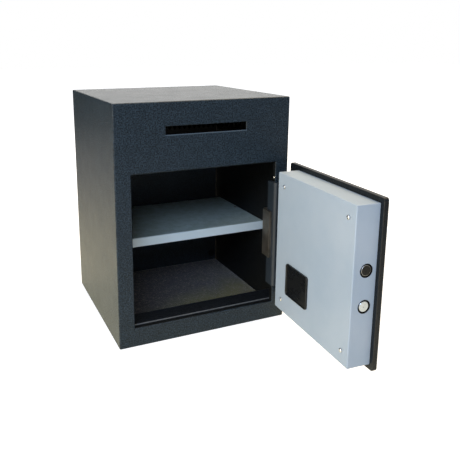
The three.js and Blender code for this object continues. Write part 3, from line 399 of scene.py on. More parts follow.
@dataclass(frozen=True)
class Panel:
    """A rectangle with round corners, seen from the front, that slabs and cutters are lofted from."""

    u: float
    v: float
    width: float
    height: float
    radius: float
    steps: int = 6

    @classmethod
    def between(cls, u: Span, v: Span, radius: float, steps: int = 6) -> "Panel":
        """The panel between two pairs of edges."""
        return cls(sum(u) / 2, sum(v) / 2, u[1] - u[0], v[1] - v[0], radius, steps)

    def outline(self, inset: float) -> Outline:
        """The panel's outline, drawn in.

        Args:
            inset: How far it is drawn in.

        Returns:
            The outline, anticlockwise.
        """
        radius = max(self.radius - inset, LEAST_RADIUS)
        across, up = self.width / 2 - inset - radius, self.height / 2 - inset - radius
        made: Outline = []
        for x, z, start in ((1, -1, -90), (1, 1, 0), (-1, 1, 90), (-1, -1, 180)):
            made += arc(self.u + x * across, self.v + z * up, radius, start, start + 90, self.steps)
        return made

    def loft(self, name: str, levels: Levels) -> Piece:
        """Lofts the panel through pairs of a depth and how far the outline is drawn in there."""
        return loft(name, Axis.Y, [(depth, self.outline(inset)) for depth, inset in levels])


def turned(name: str, axis: Axis, centre: Span, profile: Outline, segments: int = 48) -> Piece:
    """A body of revolution.

    Args:
        name: The piece's name.
        axis: The direction of the axis.
        centre: Where the axis is, in the outline's two sizes.
        profile: Pairs of a radius and a place along the axis, which start and end on the axis.
        segments: How many flats the body has.

    Returns:
        The piece.
    """
    mesh = bmesh.new()
    rings = []
    for radius, w in profile:
        spots = arc(*centre, radius, 0, 360, segments)[:-1] if radius > 0 else [centre]
        rings.append([mesh.verts.new(axis.place(u, v, w)) for u, v in spots])
    for lower, upper in zip(rings, rings[1:]):
        for i in range(segments):
            k = (i + 1) % segments
            near = (lower[i % len(lower)], lower[k % len(lower)])
            corners = dict.fromkeys((*near, upper[k % len(upper)], upper[i % len(upper)]))
            if len(corners) > 2:
                mesh.faces.new(list(corners))
    return mesh_object(name, mesh)


def rod(name: str, axis: Axis, centre: Span, radius: float, low: float, high: float) -> Piece:
    """A plain round bar, for cutting."""
    return turned(name, axis, centre, [(0, low), (radius, low), (radius, high), (0, high)])


def settle(piece: Piece) -> Piece:
    """Makes a piece's modifiers part of its mesh.

    Args:
        piece: The piece.

    Returns:
        The piece.
    """
    graph = bpy.context.evaluated_depsgraph_get()
    made = bpy.data.meshes.new_from_object(piece.evaluated_get(graph), depsgraph=graph)
    old = piece.data
    piece.modifiers.clear()
    piece.data = made
    made.name = piece.name
    bpy.data.meshes.remove(old)
    return piece


def combine(piece: Piece, others: Iterable[Piece], operation: Operation) -> Piece:
    """Cuts or joins bodies and removes them.

    Args:
        piece: The body that is kept.
        others: The bodies to cut away or to join on.
        operation: Whether they cut or join.

    Returns:
        The body that is kept.
    """
    others = list(others)
    for other in others:
        step = piece.modifiers.new("step", "BOOLEAN")
        step.operation = operation.value
        step.solver = "EXACT"
        step.object = other
    settle(piece)
    for other in others:
        data = other.data
        bpy.data.objects.remove(other)
        bpy.data.meshes.remove(data)
    return piece


def carve(piece: Piece, *cutters: Piece) -> Piece:
    """Cuts bodies out of a piece."""
    return combine(piece, cutters, Operation.CUT)


def bevelled(piece: Piece, width: float, angle: float) -> Piece:
    """Gives a piece a modifier that rounds its sharp edges a little.

    Args:
        piece: The piece.
        width: How far from each edge the rounding starts.
        angle: The least angle between faces that is rounded, in degrees.

    Returns:
        The piece.
    """
    bevel = piece.modifiers.new("deburr", "BEVEL")
    bevel.width = width * MM
    bevel.segments = 2
    bevel.limit_method = "ANGLE"
    bevel.angle_limit = math.radians(angle)
    return piece


def deburr(piece: Piece, width: float = 0.3) -> Piece:
    """Rounds the sharp edges of a piece's mesh a little."""
    return settle(bevelled(piece, width, 40.0))


def smooth(piece: Piece, angle: float = 32.0, keep_mesh: bool = False) -> Piece:
    """Shades round faces smoothly and keeps flat faces flat.

    Args:
        piece: The piece.
        angle: The least angle that stays sharp, in degrees.
        keep_mesh: True for a CAD node, whose own mesh keeps its vertices, its modifiers left unapplied.

    Returns:
        The piece.
    """
    data = piece.data
    data.polygons.foreach_set("use_smooth", [True] * len(data.polygons))
    data.set_sharp_from_angle(angle=math.radians(angle))
    even = piece.modifiers.new("even", "WEIGHTED_NORMAL")
    even.keep_sharp = True
    even.weight = 100
    return piece if keep_mesh else settle(piece)


def spun(place: Span, degrees: float) -> Matrix:
    """A turn about Y of what is drawn at the origin, and its move to a place of the front."""
    return Matrix.Translation(Axis.Y.place(*place, 0)) @ Matrix.Rotation(math.radians(degrees), 4, "Y")


# Colours and shader nodes


def linear(colour: str, share: float = 1.0) -> tuple[float, ...]:
    """Turns a colour such as #2a3036 into Blender's linear values.

    Args:
        colour: The colour.
        share: How much of its light is kept, over one to brighten it.

    Returns:
        Red, green, blue and alpha.
    """
    parts = (int(colour[i : i + 2], 16) / 255 for i in (1, 3, 5))
    light = (c / 12.92 if c <= 0.04045 else ((c + 0.055) / 1.055) ** 2.4 for c in parts)
    return (*(min(c * share, 1.0) for c in light), 1.0)


def metres(point: Point) -> Point:
    """Turns millimetres into the shaders' metres."""
    return tuple(c * MM for c in point)


@dataclass
class NodeBoard:
    """Places and joins the nodes of a material, a world or a group."""

    tree: Tree
    column: int = 0

    @classmethod
    def blank(cls, owner: bpy.types.Material | bpy.types.World) -> "NodeBoard":
        """Empties a material's or a world's nodes and starts a board on them.

        Args:
            owner: The material or the world.

        Returns:
            The board.
        """
        owner.use_nodes = True
        owner.node_tree.nodes.clear()
        return cls(owner.node_tree)

    def feed(self, node: Node, links: Links) -> None:
        """Joins or sets a node's inputs.

        Args:
            node: The node.
            links: For each input, an output socket, a value or a colour such as #2a3036.
        """
        for key, value in links.items():
            if isinstance(value, Socket):
                self.tree.links.new(value, node.inputs[key])
            else:
                node.inputs[key].default_value = linear(value) if isinstance(value, str) else value

    def add(self, kind: str, links: Links | None = None, **settings: object) -> Node:
        """Adds one node.

        Args:
            kind: The node's Blender type.
            links: What its inputs are fed.
            settings: Properties of the node itself.

        Returns:
            The node.
        """
        node = self.tree.nodes.new(kind)
        node.location = (self.column * 200, 0)
        self.column += 1
        for key, value in settings.items():
            setattr(node, key, value)
        self.feed(node, links or {})
        return node

    def maths(
        self, operation: str, a: object, b: object = 0.0, c: object = 0.0, clamp: bool = False
    ) -> Socket:
        """Adds a Math node and returns its result."""
        links = {0: a, 1: b, 2: c}
        return self.add("ShaderNodeMath", links, operation=operation, use_clamp=clamp).outputs[0]

    def fold(self, operation: str, values: Iterable[object]) -> Socket:
        """Works several values together, two at a time, and returns the result."""
        return reduce(lambda a, b: self.maths(operation, a, b), values)

    def vector(self, operation: str, *values: object) -> Socket:
        """Adds a Vector Math node and returns its result, a number or a vector."""
        node = self.add("ShaderNodeVectorMath", dict(enumerate(values)), operation=operation)
        return node.outputs["Value" if operation in ("LENGTH", "DOT_PRODUCT") else "Vector"]

    def parts(self, vector: Socket) -> list[Socket]:
        """Splits a vector into its three sizes."""
        return list(self.add("ShaderNodeSeparateXYZ", {0: vector}).outputs)

    def ramp(
        self,
        value: object,
        low: float,
        high: float,
        to_low: object = 0.0,
        to_high: object = 1.0,
        shape: str = "SMOOTHSTEP",
    ) -> Socket:
        """Adds a clamped Map Range.

        Args:
            value: What it reads.
            low: The value that gives to_low.
            high: The value that gives to_high.
            to_low: The result at low.
            to_high: The result at high.
            shape: How it runs between them.

        Returns:
            The result.
        """
        links = {"Value": value, "From Min": low, "From Max": high, "To Min": to_low, "To Max": to_high}
        return self.add("ShaderNodeMapRange", links, interpolation_type=shape).outputs["Result"]

    def mixed(self, factor: object, a: object, b: object) -> Socket:
        """Mixes two colours and returns the result."""
        return self.add("ShaderNodeMix", {0: factor, 6: a, 7: b}, data_type="RGBA").outputs[2]

    def noise(self, vector: object, scale: object, detail: float = 2.0, roughness: float = 0.5) -> Socket:
        """Adds a Noise Texture and returns its factor."""
        links = {"Vector": vector, "Scale": scale, "Detail": detail, "Roughness": roughness}
        return self.add("ShaderNodeTexNoise", links).outputs["Fac"]


class Effects:
    """Shader node groups that several finishes use, each built once."""

    @staticmethod
    def start(
        name: str, inputs: dict[str, object], outputs: Sequence[str]
    ) -> tuple[NodeBoard, dict[str, Socket], Node]:
        """Starts a group with named sockets, whose first input is the place on the piece.

        Args:
            name: The group's name.
            inputs: For each further input, its default value, a number or a vector.
            outputs: The names of its outputs, all numbers.

        Returns:
            A board to build on, the sockets of its inputs by name, and its output node.
        """
        tree = bpy.data.node_groups.new(name, "ShaderNodeTree")
        for label, value in {"Vector": (0.0, 0.0, 0.0), **inputs}.items():
            kind = "NodeSocketFloat" if isinstance(value, float) else "NodeSocketVector"
            tree.interface.new_socket(name=label, in_out="INPUT", socket_type=kind).default_value = value
        for label in outputs:
            tree.interface.new_socket(name=label, in_out="OUTPUT", socket_type="NodeSocketFloat")
        board = NodeBoard(tree)
        given = {socket.name: socket for socket in board.add("NodeGroupInput").outputs}
        return board, given, board.add("NodeGroupOutput")

    @staticmethod
    @cache
    def powder_grain() -> Tree:
        """Builds the pebbled skin of a sprayed coat.

        Returns:
            The group, which gives a height and lighter specks.
        """
        board, given, out = Effects.start("Powder grain", {"Pebbles per metre": 700.0}, ("Height", "Specks"))
        vector, scale = given["Vector"], given["Pebbles per metre"]
        links = {"Vector": vector, "Scale": scale, "Smoothness": 0.6}
        cells = board.add("ShaderNodeTexVoronoi", links, feature="SMOOTH_F1").outputs["Distance"]
        layers = ((0.45, 3.0, 0.6), (2.1, 1.0, 0.5), (0.95, 3.0, 0.6), (0.13, 3.0, 0.6))
        swell, fine, spots, drifts = (
            board.noise(vector, board.maths("MULTIPLY", scale, share), detail, roughness)
            for share, detail, roughness in layers
        )
        height = board.maths("MULTIPLY_ADD", swell, 0.8, board.maths("SUBTRACT", 1.0, cells))
        height = board.maths("MULTIPLY_ADD", fine, 0.25, height)
        drift = board.ramp(drifts, 0.36, 0.64, 0.84, 1.14)
        specks = board.maths("MULTIPLY", board.ramp(spots, 0.38, 0.64), drift, clamp=True)
        board.feed(out, {"Height": height, "Specks": specks})
        return board.tree

    @staticmethod
    @cache
    def mottle() -> Tree:
        """Builds soft clouds that a colour or a roughness drifts with.

        Returns:
            The group, which gives a value.
        """
        inputs = {"Clouds per metre": 14.0, "Least": 0.0, "Most": 1.0}
        board, given, out = Effects.start("Mottle", inputs, ("Value",))
        clouds = board.noise(given["Vector"], given["Clouds per metre"], 4.0, 0.55)
        board.feed(out, {"Value": board.ramp(clouds, 0.3, 0.7, given["Least"], given["Most"], "LINEAR")})
        return board.tree

    @staticmethod
    @cache
    def edge_wear_and_highlight() -> Tree:
        """Builds a broken lighter line where two faces of a box meet, for scuffing and, where a finish asks
        for it, a painted highlight.

        Returns:
            The group, which gives a mask.
        """
        inputs: dict[str, object] = {"Low corner": (0.0, 0.0, 0.0), "High corner": (1.0, 1.0, 1.0)}
        inputs |= {"Width": 0.002, "Amount": 0.5, "Breaks": 1.0}
        board, given, out = Effects.start("Scuffed and highlit edge line", inputs, ("Mask",))
        vector, corners = given["Vector"], (given["Low corner"], given["High corner"])
        gaps = [board.vector("ABSOLUTE", board.vector("SUBTRACT", vector, corner)) for corner in corners]
        near = [
            board.maths("SUBTRACT", 1.0, board.maths("DIVIDE", part, given["Width"]), clamp=True)
            for part in board.parts(board.vector("MINIMUM", *gaps))
        ]
        edge = board.fold("MAXIMUM", [board.maths("MULTIPLY", near[i], near[i - 1]) for i in range(3)])
        patchy = board.ramp(board.noise(vector, 130.0, 4.0, 0.65), 0.42, 0.62)
        lost = board.maths("MULTIPLY", board.maths("SUBTRACT", 1.0, patchy), given["Breaks"])
        kept = board.maths("MULTIPLY", edge, board.maths("SUBTRACT", 1.0, lost))
        board.feed(out, {"Mask": board.maths("MULTIPLY", kept, given["Amount"], clamp=True)})
        return board.tree

    @staticmethod
    @cache
    def brushing() -> Tree:
        """Builds the fine lines that a belt or a lathe leaves.

        Returns:
            The group, which gives a height and streaks.
        """
        inputs = {"Lines per metre": (40.0, 3000.0, 3000.0)}
        board, given, out = Effects.start("Brushing", inputs, ("Height", "Streaks"))
        drawn = board.vector("MULTIPLY", given["Vector"], given["Lines per metre"])
        streaks = board.ramp(board.noise(drawn, 0.18, 2.0), 0.35, 0.65)
        board.feed(out, {"Height": board.noise(drawn, 1.0, 3.0, 0.6), "Streaks": streaks})
        return board.tree

    @staticmethod
    @cache
    def dust_and_shade() -> Tree:
        """Builds a thin film on what faces up, for dustiness and, where its colour is darker than the paint,
        painted shade.

        Returns:
            The group, which gives a mask.
        """
        board, given, out = Effects.start("Dust and shade", {"Amount": 0.2}, ("Mask",))
        normal = board.add("ShaderNodeNewGeometry").outputs["Normal"]
        upward = board.ramp(board.parts(normal)[2], 0.6, 0.98)
        drift = board.ramp(board.noise(given["Vector"], 60.0, 6.0, 0.7), 0.3, 0.7, 0.4, 0.7)
        board.feed(out, {"Mask": board.fold("MULTIPLY", (upward, drift, given["Amount"]))})
        return board.tree

    @staticmethod
    @cache
    def felt_fibres() -> Tree:
        """Builds matted fibres.

        Returns:
            The group, which gives a height and pale flecks.
        """
        board, given, out = Effects.start("Felt fibres", {"Fibres per metre": 420.0}, ("Height", "Flecks"))
        vector, scale = given["Vector"], given["Fibres per metre"]
        links = {"Vector": vector, "Scale": board.maths("MULTIPLY", scale, 0.15), "Detail": 3.0}
        bent = board.add("ShaderNodeTexNoise", links).outputs["Color"]
        wander = board.vector("MULTIPLY_ADD", bent, (0.02, 0.02, 0.02), vector)
        layers = []
        for angle in (0.4, 1.5, 2.6):
            links = {"Vector": wander, "Rotation": (0.0, 0.0, angle)}
            lain = board.add("ShaderNodeMapping", links).outputs[0]
            layers.append(board.noise(board.vector("MULTIPLY", lain, (0.45, 1.0, 1.0)), scale, 2.0, 0.6))
        matted = board.fold("MAXIMUM", layers)
        board.feed(out, {"Height": matted, "Flecks": board.ramp(matted, 0.57, 0.72)})
        return board.tree


@dataclass
class Surface:
    """A material in the making: its board, its shader and the place on the piece."""

    board: NodeBoard
    shader: Node
    place: Socket

    def effect(self, group: Tree, links: Links) -> Node:
        """Places one of the shared effects, fed the place and its own values."""
        return self.board.add("ShaderNodeGroup", {"Vector": self.place, **links}, node_tree=group)

    def grain(self, pebbles: float) -> Node:
        """Places a pebbled skin with so many pebbles to the metre."""
        return self.effect(Effects.powder_grain(), {"Pebbles per metre": pebbles})

    def mottle(self, clouds: float, least: float = 0.0, most: float = 1.0) -> Socket:
        """Places clouds between two values, so many to the metre, and returns the value."""
        links = {"Clouds per metre": clouds, "Least": least, "Most": most}
        return self.effect(Effects.mottle(), links).outputs["Value"]

    def about(self, middle: float, drift: float, clouds: float) -> Socket:
        """Places clouds that drift about a value, so many to the metre, and returns the value."""
        return self.mottle(clouds, middle - drift, middle + drift)

    def finish(self, links: Links, height: Socket, strength: float, depth: float) -> None:
        """Feeds the shader and gives it a relief.

        Args:
            links: What the shader's inputs are fed.
            height: The relief's height.
            strength: How strongly it shows.
            depth: Its depth, in metres.
        """
        relief = self.board.add("ShaderNodeBump", {"Height": height, "Strength": strength, "Distance": depth})
        self.board.feed(self.shader, {**links, "Normal": relief.outputs[0]})


@dataclass(frozen=True)
class Finish:
    """What every finish has, and the base of each kind."""

    name: str
    colour: str
    roughness: float = 0.5

    def material(self) -> bpy.types.Material:
        """Builds the finish's material, once.

        Returns:
            The material.
        """
        known = bpy.data.materials.get(self.name)
        if known:
            return known
        made = bpy.data.materials.new(self.name)
        made.diffuse_color = linear(self.colour)
        board = NodeBoard.blank(made)
        shader = board.add("ShaderNodeBsdfPrincipled")
        board.add("ShaderNodeOutputMaterial", {"Surface": shader.outputs[0]})
        self.detail(Surface(board, shader, board.add("ShaderNodeTexCoord").outputs["Object"]))
        return made

    def detail(self, surface: Surface) -> None:
        """Gives the shader its colour, roughness and relief."""
        raise NotImplementedError

    def dress(self, piece: Piece) -> None:
        """Puts the finish on a piece."""
        piece.data.materials.clear()
        piece.data.materials.append(self.material())


@dataclass(frozen=True)
class PaintedLightBox:
    """A box of a piece where light or shade is painted into the coat's colour."""

    colour: str
    low: Point
    high: Point
    speck_share: float = 0.06

    def mask(self, surface: Surface) -> Socket:
        """Finds what lies inside the box.

        Args:
            surface: The material in the making.

        Returns:
            The mask.
        """
        board = surface.board
        above = board.vector("SUBTRACT", surface.place, metres(self.low))
        below = board.vector("SUBTRACT", metres(self.high), surface.place)
        nearest = board.fold("MINIMUM", board.parts(board.vector("MINIMUM", above, below)))
        return board.maths("GREATER_THAN", nearest, 0.0)


@dataclass(frozen=True)
class PowderCoat(Finish):
    """Sprayed and baked powder with a pebbled skin, with a lighter line along the edges of a box that is
    scuffing and, on the stop frame and the door plate, a painted highlight, and with boxes of painted light
    and shade.
    """

    pebbles: float = 420.0
    relief: float = 0.7
    speck_colour: str = "#445665"
    speck_share: float = 0.48
    wear_and_highlight_colour: str = "#6d6a63"
    wear_and_highlight: float = 0.35
    low: Point = (-175.0, -163.0, 0.0)
    high: Point = (175.0, 163.0, 455.0)
    wear_and_highlight_width: float = 2.2
    breaks: float = 1.0
    specular: float = 0.5
    painted_light_boxes: tuple[PaintedLightBox, ...] = ()
    clouds: float = 9.0
    shades: Span = (0.62, 0.74)
    sheen_clouds: float = 30.0
    sheen_drift: float = 0.02
    depth: float = 0.0006

    def detail(self, surface: Surface) -> None:
        """Mixes paint, specks, boxes of painted light and shade, and the edge line of scuffing and painted
        highlight, and pebbles the skin.

        Args:
            surface: The material in the making.
        """
        board, grain = surface.board, surface.grain(self.pebbles)
        specks = grain.outputs["Specks"]
        deep, light = (linear(self.colour, share) for share in self.shades)
        coat = board.mixed(surface.mottle(self.clouds), deep, light)
        coat = board.mixed(board.maths("MULTIPLY", specks, self.speck_share), coat, self.speck_colour)
        # Each box paints light or shade into the coat: near black for painted shade, pale for a painted
        # highlight.
        for painted_box in self.painted_light_boxes:
            share = board.maths("MULTIPLY", specks, painted_box.speck_share)
            tint = board.mixed(share, painted_box.colour, self.speck_colour)
            coat = board.mixed(painted_box.mask(surface), coat, tint)
        # The edge line is scuffing, and on the stop frame and the door plate also a painted highlight.
        edges = {"Low corner": metres(self.low), "High corner": metres(self.high)}
        edges |= {"Width": self.wear_and_highlight_width * MM, "Amount": self.wear_and_highlight, "Breaks": self.breaks}
        wear_and_highlight_line = surface.effect(Effects.edge_wear_and_highlight(), edges)
        links = {
            "Base Color": board.mixed(wear_and_highlight_line.outputs["Mask"], coat, self.wear_and_highlight_colour),
            "Roughness": surface.about(self.roughness, self.sheen_drift, self.sheen_clouds),
            "Specular IOR Level": self.specular,
        }
        surface.finish(links, grain.outputs["Height"], self.relief, self.depth)


@dataclass(frozen=True)
class SatinPaint(Finish):
    """Smooth sprayed paint with a faint orange peel, handling marks, and a dusty film with painted shade on
    what faces up.
    """

    rubbed_colour: str = "#c9d2da"
    relief: float = 0.12
    specular: float = 0.5
    dust_and_shade: float = 0.0
    dust_and_shade_colour: str = "#b4b2ab"
    pebbles: float = 1100.0
    speck_share: float = 0.08
    clouds: float = 7.0
    handling: float = 0.4
    sheen_clouds: float = 22.0
    sheen_drift: float = 0.06
    depth: float = 0.0002

    def detail(self, surface: Surface) -> None:
        """Drifts the colour a little and adds the film of dustiness and painted shade, and the fine peel.

        Args:
            surface: The material in the making.
        """
        board, grain = surface.board, surface.grain(self.pebbles)
        handled = surface.mottle(self.clouds, 0.0, self.handling)
        paint = board.mixed(handled, self.colour, self.rubbed_colour)
        specks = board.maths("MULTIPLY", grain.outputs["Specks"], self.speck_share)
        paint = board.mixed(specks, paint, self.rubbed_colour)
        film = surface.effect(Effects.dust_and_shade(), {"Amount": self.dust_and_shade}).outputs["Mask"]
        links = {
            "Base Color": board.mixed(film, paint, self.dust_and_shade_colour),
            "Roughness": surface.about(self.roughness, self.sheen_drift, self.sheen_clouds),
            "Specular IOR Level": self.specular,
        }
        surface.finish(links, grain.outputs["Height"], self.relief, self.depth)


@dataclass(frozen=True)
class WorkedMetal(Finish):
    """Bare or plated steel with tool lines, a little tarnish and perhaps a darker nose."""

    lines: Point = (3000.0, 3000.0, 60.0)
    stain_colour: str = "#5b554c"
    stain: float = 0.25
    relief: float = 0.15
    nose_colour: str = ""
    nose_axis: Span = (0.0, 0.0)
    nose_radii: Span = (7.9, 8.3)
    stain_clouds: float = 55.0
    streak_gain: float = 1.15
    sheen: Span = (-0.05, 0.08)
    depth: float = 0.00005

    def nose_mask(self, surface: Surface) -> Socket:
        """Finds the flat of a bar's nose, inside its chamfer.

        Args:
            surface: The material in the making.

        Returns:
            The mask.
        """
        board = surface.board
        away = board.vector("SUBTRACT", surface.place, metres((0.0, *self.nose_axis)))
        reach = board.vector("LENGTH", board.vector("MULTIPLY", away, (0.0, 1.0, 1.0)))
        inner, outer = (radius * MM for radius in self.nose_radii)
        return board.ramp(reach, outer, inner)

    def detail(self, surface: Surface) -> None:
        """Lays tool lines over the metal and stains it in patches.

        Args:
            surface: The material in the making.
        """
        board = surface.board
        tool = surface.effect(Effects.brushing(), {"Lines per metre": self.lines}).outputs
        metal = board.mixed(tool["Streaks"], self.colour, linear(self.colour, self.streak_gain))
        metal = board.mixed(surface.mottle(self.stain_clouds, 0.0, self.stain), metal, self.stain_colour)
        if self.nose_colour:
            metal = board.mixed(self.nose_mask(surface), metal, self.nose_colour)
        bright, dull = (self.roughness + change for change in self.sheen)
        rough = board.ramp(tool["Streaks"], 0.0, 1.0, bright, dull, "LINEAR")
        links = {"Base Color": metal, "Roughness": rough, "Metallic": 1.0}
        surface.finish(links, tool["Height"], self.relief, self.depth)


@dataclass(frozen=True)
class Moulding(Finish):
    """Moulded plastic with a fine spark-eroded grain."""

    grain: float = 1600.0
    relief: float = 0.2
    rub_colour: str = "#2c2d2f"
    specular: float = 0.5
    rub_clouds: float = 40.0
    rub_share: float = 0.5
    sheen_drift: float = 0.06
    depth: float = 0.00012

    def detail(self, surface: Surface) -> None:
        """Grains the surface and varies its sheen with handling.

        Args:
            surface: The material in the making.
        """
        board, handled = surface.board, surface.mottle(self.rub_clouds)
        share = board.maths("MULTIPLY", handled, self.rub_share)
        dull, rubbed = self.roughness + self.sheen_drift, self.roughness - self.sheen_drift
        links = {
            "Base Color": board.mixed(share, self.colour, self.rub_colour),
            "Roughness": board.ramp(handled, 0.0, 1.0, dull, rubbed),
            "Specular IOR Level": self.specular,
        }
        surface.finish(links, surface.grain(self.grain).outputs["Height"], self.relief, self.depth)


@dataclass(frozen=True)
class Felt(Finish):
    """Needled felt, flecked and dusty, and lighter and more olive in clouds towards the front right."""

    fleck_colour: str = "#867f72"
    front_right_colour: str = "#6a6430"
    fibres: float = 330.0
    shade: float = 0.62
    shade_clouds: float = 18.0
    front_right_clouds: float = 6.0
    front_right_way: Point = (0.55, -0.83, 0.0)
    front_right_reach: Span = (-0.06, 0.1)
    front_right_most: float = 1.5
    sheen_drift: float = 0.05
    pile: Span = (0.3, 0.8)
    specular: float = 0.15
    fuzz: float = 0.3
    fuzz_roughness: float = 0.5
    relief: float = 0.9
    depth: float = 0.0015

    def detail(self, surface: Surface) -> None:
        """Mats the fibres, turns them lighter and more olive towards the front right, and flecks the colour.

        Args:
            surface: The material in the making.
        """
        board = surface.board
        pile = surface.effect(Effects.felt_fibres(), {"Fibres per metre": self.fibres}).outputs
        dark = linear(self.colour, self.shade)
        ground = board.mixed(surface.mottle(self.shade_clouds), dark, self.colour)
        # Lighter and more olive in clouds towards the front right.
        across = board.vector("DOT_PRODUCT", surface.place, self.front_right_way)
        towards_front_right = board.ramp(across, *self.front_right_reach, 0.0, self.front_right_most)
        front_right_share = board.maths("MULTIPLY", surface.mottle(self.front_right_clouds), towards_front_right)
        ground = board.mixed(front_right_share, ground, self.front_right_colour)
        deep, raised = self.roughness + self.sheen_drift, self.roughness - self.sheen_drift
        links = {
            "Base Color": board.mixed(pile["Flecks"], ground, self.fleck_colour),
            "Roughness": board.ramp(pile["Height"], *self.pile, deep, raised),
            "Specular IOR Level": self.specular,
            "Sheen Weight": self.fuzz,
            "Sheen Roughness": self.fuzz_roughness,
        }
        surface.finish(links, pile["Height"], self.relief, self.depth)


@dataclass(frozen=True)
class Tint(Finish):
    """Printed ink or a lens, whose colour and sheen break up in patches."""

    faded_colour: str = "#7d8185"
    clouds: float = 900.0
    fading: float = 0.35
    dulling: float = 0.2
    gloss: float = 0.0

    def detail(self, surface: Surface) -> None:
        """Fades and dulls the colour in patches.

        Args:
            surface: The material in the making.
        """
        board, faded = surface.board, surface.mottle(self.clouds, 0.0, self.fading)
        links = {
            "Base Color": board.mixed(faded, self.colour, self.faded_colour),
            "Roughness": board.ramp(faded, 0.0, self.fading, self.roughness, self.roughness + self.dulling),
            "Coat Weight": self.gloss,
        }
        board.feed(surface.shader, links)


class Finishes:
    """The safe's finishes."""

    CABINET = PowderCoat(
        "Charcoal powder coat",
        "#18242d",
        0.38,
        specular=0.2,
        painted_light_boxes=(
            # Painted shade: the shell's inner faces, in the box and in the slot, are near black.
            PaintedLightBox("#11110f", (-174.0, -162.0, 1.0), (174.0, 162.0, 454.0)),
            # Painted highlight: a pale line along the slot's lower lip.
            PaintedLightBox("#3f5262", (-80.5, -164.0, 394.2), (81.5, -160.4, 396.3), 0.0),
        ),
    )
    PLATE = PowderCoat(
        "Door plate powder coat",
        "#18242d",
        0.4,
        specular=0.2,
        low=(-143.5, -163.0, 39.0),
        high=(140.0, -154.0, 328.0),
        # The lighter line along the plate's rims is scuffing, kept nearly unbroken so that it also paints the
        # highlight that the eased rims catch.
        wear_and_highlight_colour="#7d776b",
        wear_and_highlight=0.3,
        wear_and_highlight_width=1.2,
        breaks=0.4,
        # Painted shade on the plate's edges behind its front rim and on its inner face, beside the pan and
        # the frame.
        painted_light_boxes=(PaintedLightBox("#0f1317", (-150.0, -161.0, 30.0), (150.0, -150.0, 335.0)),),
    )
    INSIDE = PowderCoat("Inside powder coat", "#15181c", 0.5, wear_and_highlight=0.0, relief=0.35, specular=0.2)
    BACK = PowderCoat(
        "Back panel coat",
        "#30363c",
        0.5,
        wear_and_highlight=0.0,
        relief=0.35,
        specular=0.25,
        speck_share=0.3,
        # Painted shade: the upper back wall, seen only through the slot, is near black.
        painted_light_boxes=(PaintedLightBox("#040505", (-180.0, -170.0, 323.0), (180.0, 161.5, 470.0)),),
    )
    STOP = PowderCoat(
        "Stop frame coat",
        "#121417",
        0.4,
        speck_colour="#363c43",
        # Painted highlight: the box's front top edge lies on the sill channel's bend, so the pale line there
        # stands for the light that the bend catches, over some scuffing.
        low=(-172.7, -153.5, 2.3),
        high=(172.7, -111.4, 40.5),
        wear_and_highlight_colour="#888d91",
        wear_and_highlight=1.1,
        wear_and_highlight_width=2.4,
        breaks=0.25,
        specular=0.25,
    )
    # Painted shade: the chute and the guard are near black and without sheen, so that the slot reads as deep
    # shade.
    GUARD = PowderCoat(
        "Slot guard coat", "#090a0b", 0.85, speck_colour="#0d0e10", wear_and_highlight=0.0, relief=0.3, specular=0.0
    )
    HINGE = SatinPaint("Hinge arm paint", "#222a32", 0.36, rubbed_colour="#343d46")
    PALE = SatinPaint("Pale blue-grey paint", "#a4b6c7", 0.42, specular=0.2)
    # The darker olive film on the shelf's top is partly dustiness and partly painted shade, darker than the
    # lit lip.
    SHELF = SatinPaint("Shelf paint", "#cfe1e7", 0.45, dust_and_shade=0.9, dust_and_shade_colour="#768a6a")
    BRIGHT = WorkedMetal("Bright steel", "#d6d8d9", 0.22, stain=0.12)
    BOLT = WorkedMetal(
        "Turned bolt steel", "#b9c4d4", 0.2, lines=(60.0, 900.0, 900.0), stain=0.35, stain_colour="#77746d"
    )
    # The upper bolt: bright steel with a dark flat on its nose.
    DARK_NOSED = WorkedMetal(
        "Dark-nosed bolt steel",
        "#b9bcbe",
        0.28,
        lines=(60.0, 900.0, 900.0),
        stain=0.3,
        nose_colour="#2e2f30",
        nose_axis=SAFE.bolts["upper"],
    )
    ZINC = WorkedMetal("Dull zinc plate", "#8b8780", 0.45, lines=(3600.0, 3600.0, 160.0), stain=0.4)
    JACKET = WorkedMetal("Battery jacket", "#8a8c90", 0.3, lines=(1500.0, 1500.0, 40.0), stain=0.1)
    BLACK = Moulding("Black moulding", "#101113", 0.42, rub_colour="#1f2022", specular=0.35)
    # Near black and dull: the bushes also paint the shade of the gap round each bolt.
    BUSH = Moulding("Black bush moulding", "#070808", 0.6, rub_colour="#0c0d0e", specular=0.1)
    LID = Moulding("Satin black moulding", "#101214", 0.3, rub_colour="#1a1c1e", relief=0.1)
    KEY = Moulding("Key moulding", "#c9cccd", 0.45, rub_colour="#b9bdc0", grain=2200.0, relief=0.1)
    BOARD = Moulding("Green laminate", "#1c5a3a", 0.3, rub_colour="#2a7550", relief=0.05)
    INK = Tint("Black key print", "#1b1d20", 0.4)
    MARK = Tint("White knob mark", "#e8e9e6", 0.4)
    LENS = Tint("Green lens", "#2f9a58", 0.12, "#9fd9b4", 500.0, 0.5, 0.15, 0.6)
    FELT = Felt("Grey-brown felt", "#48434a", 0.93)


# Sub-assemblies


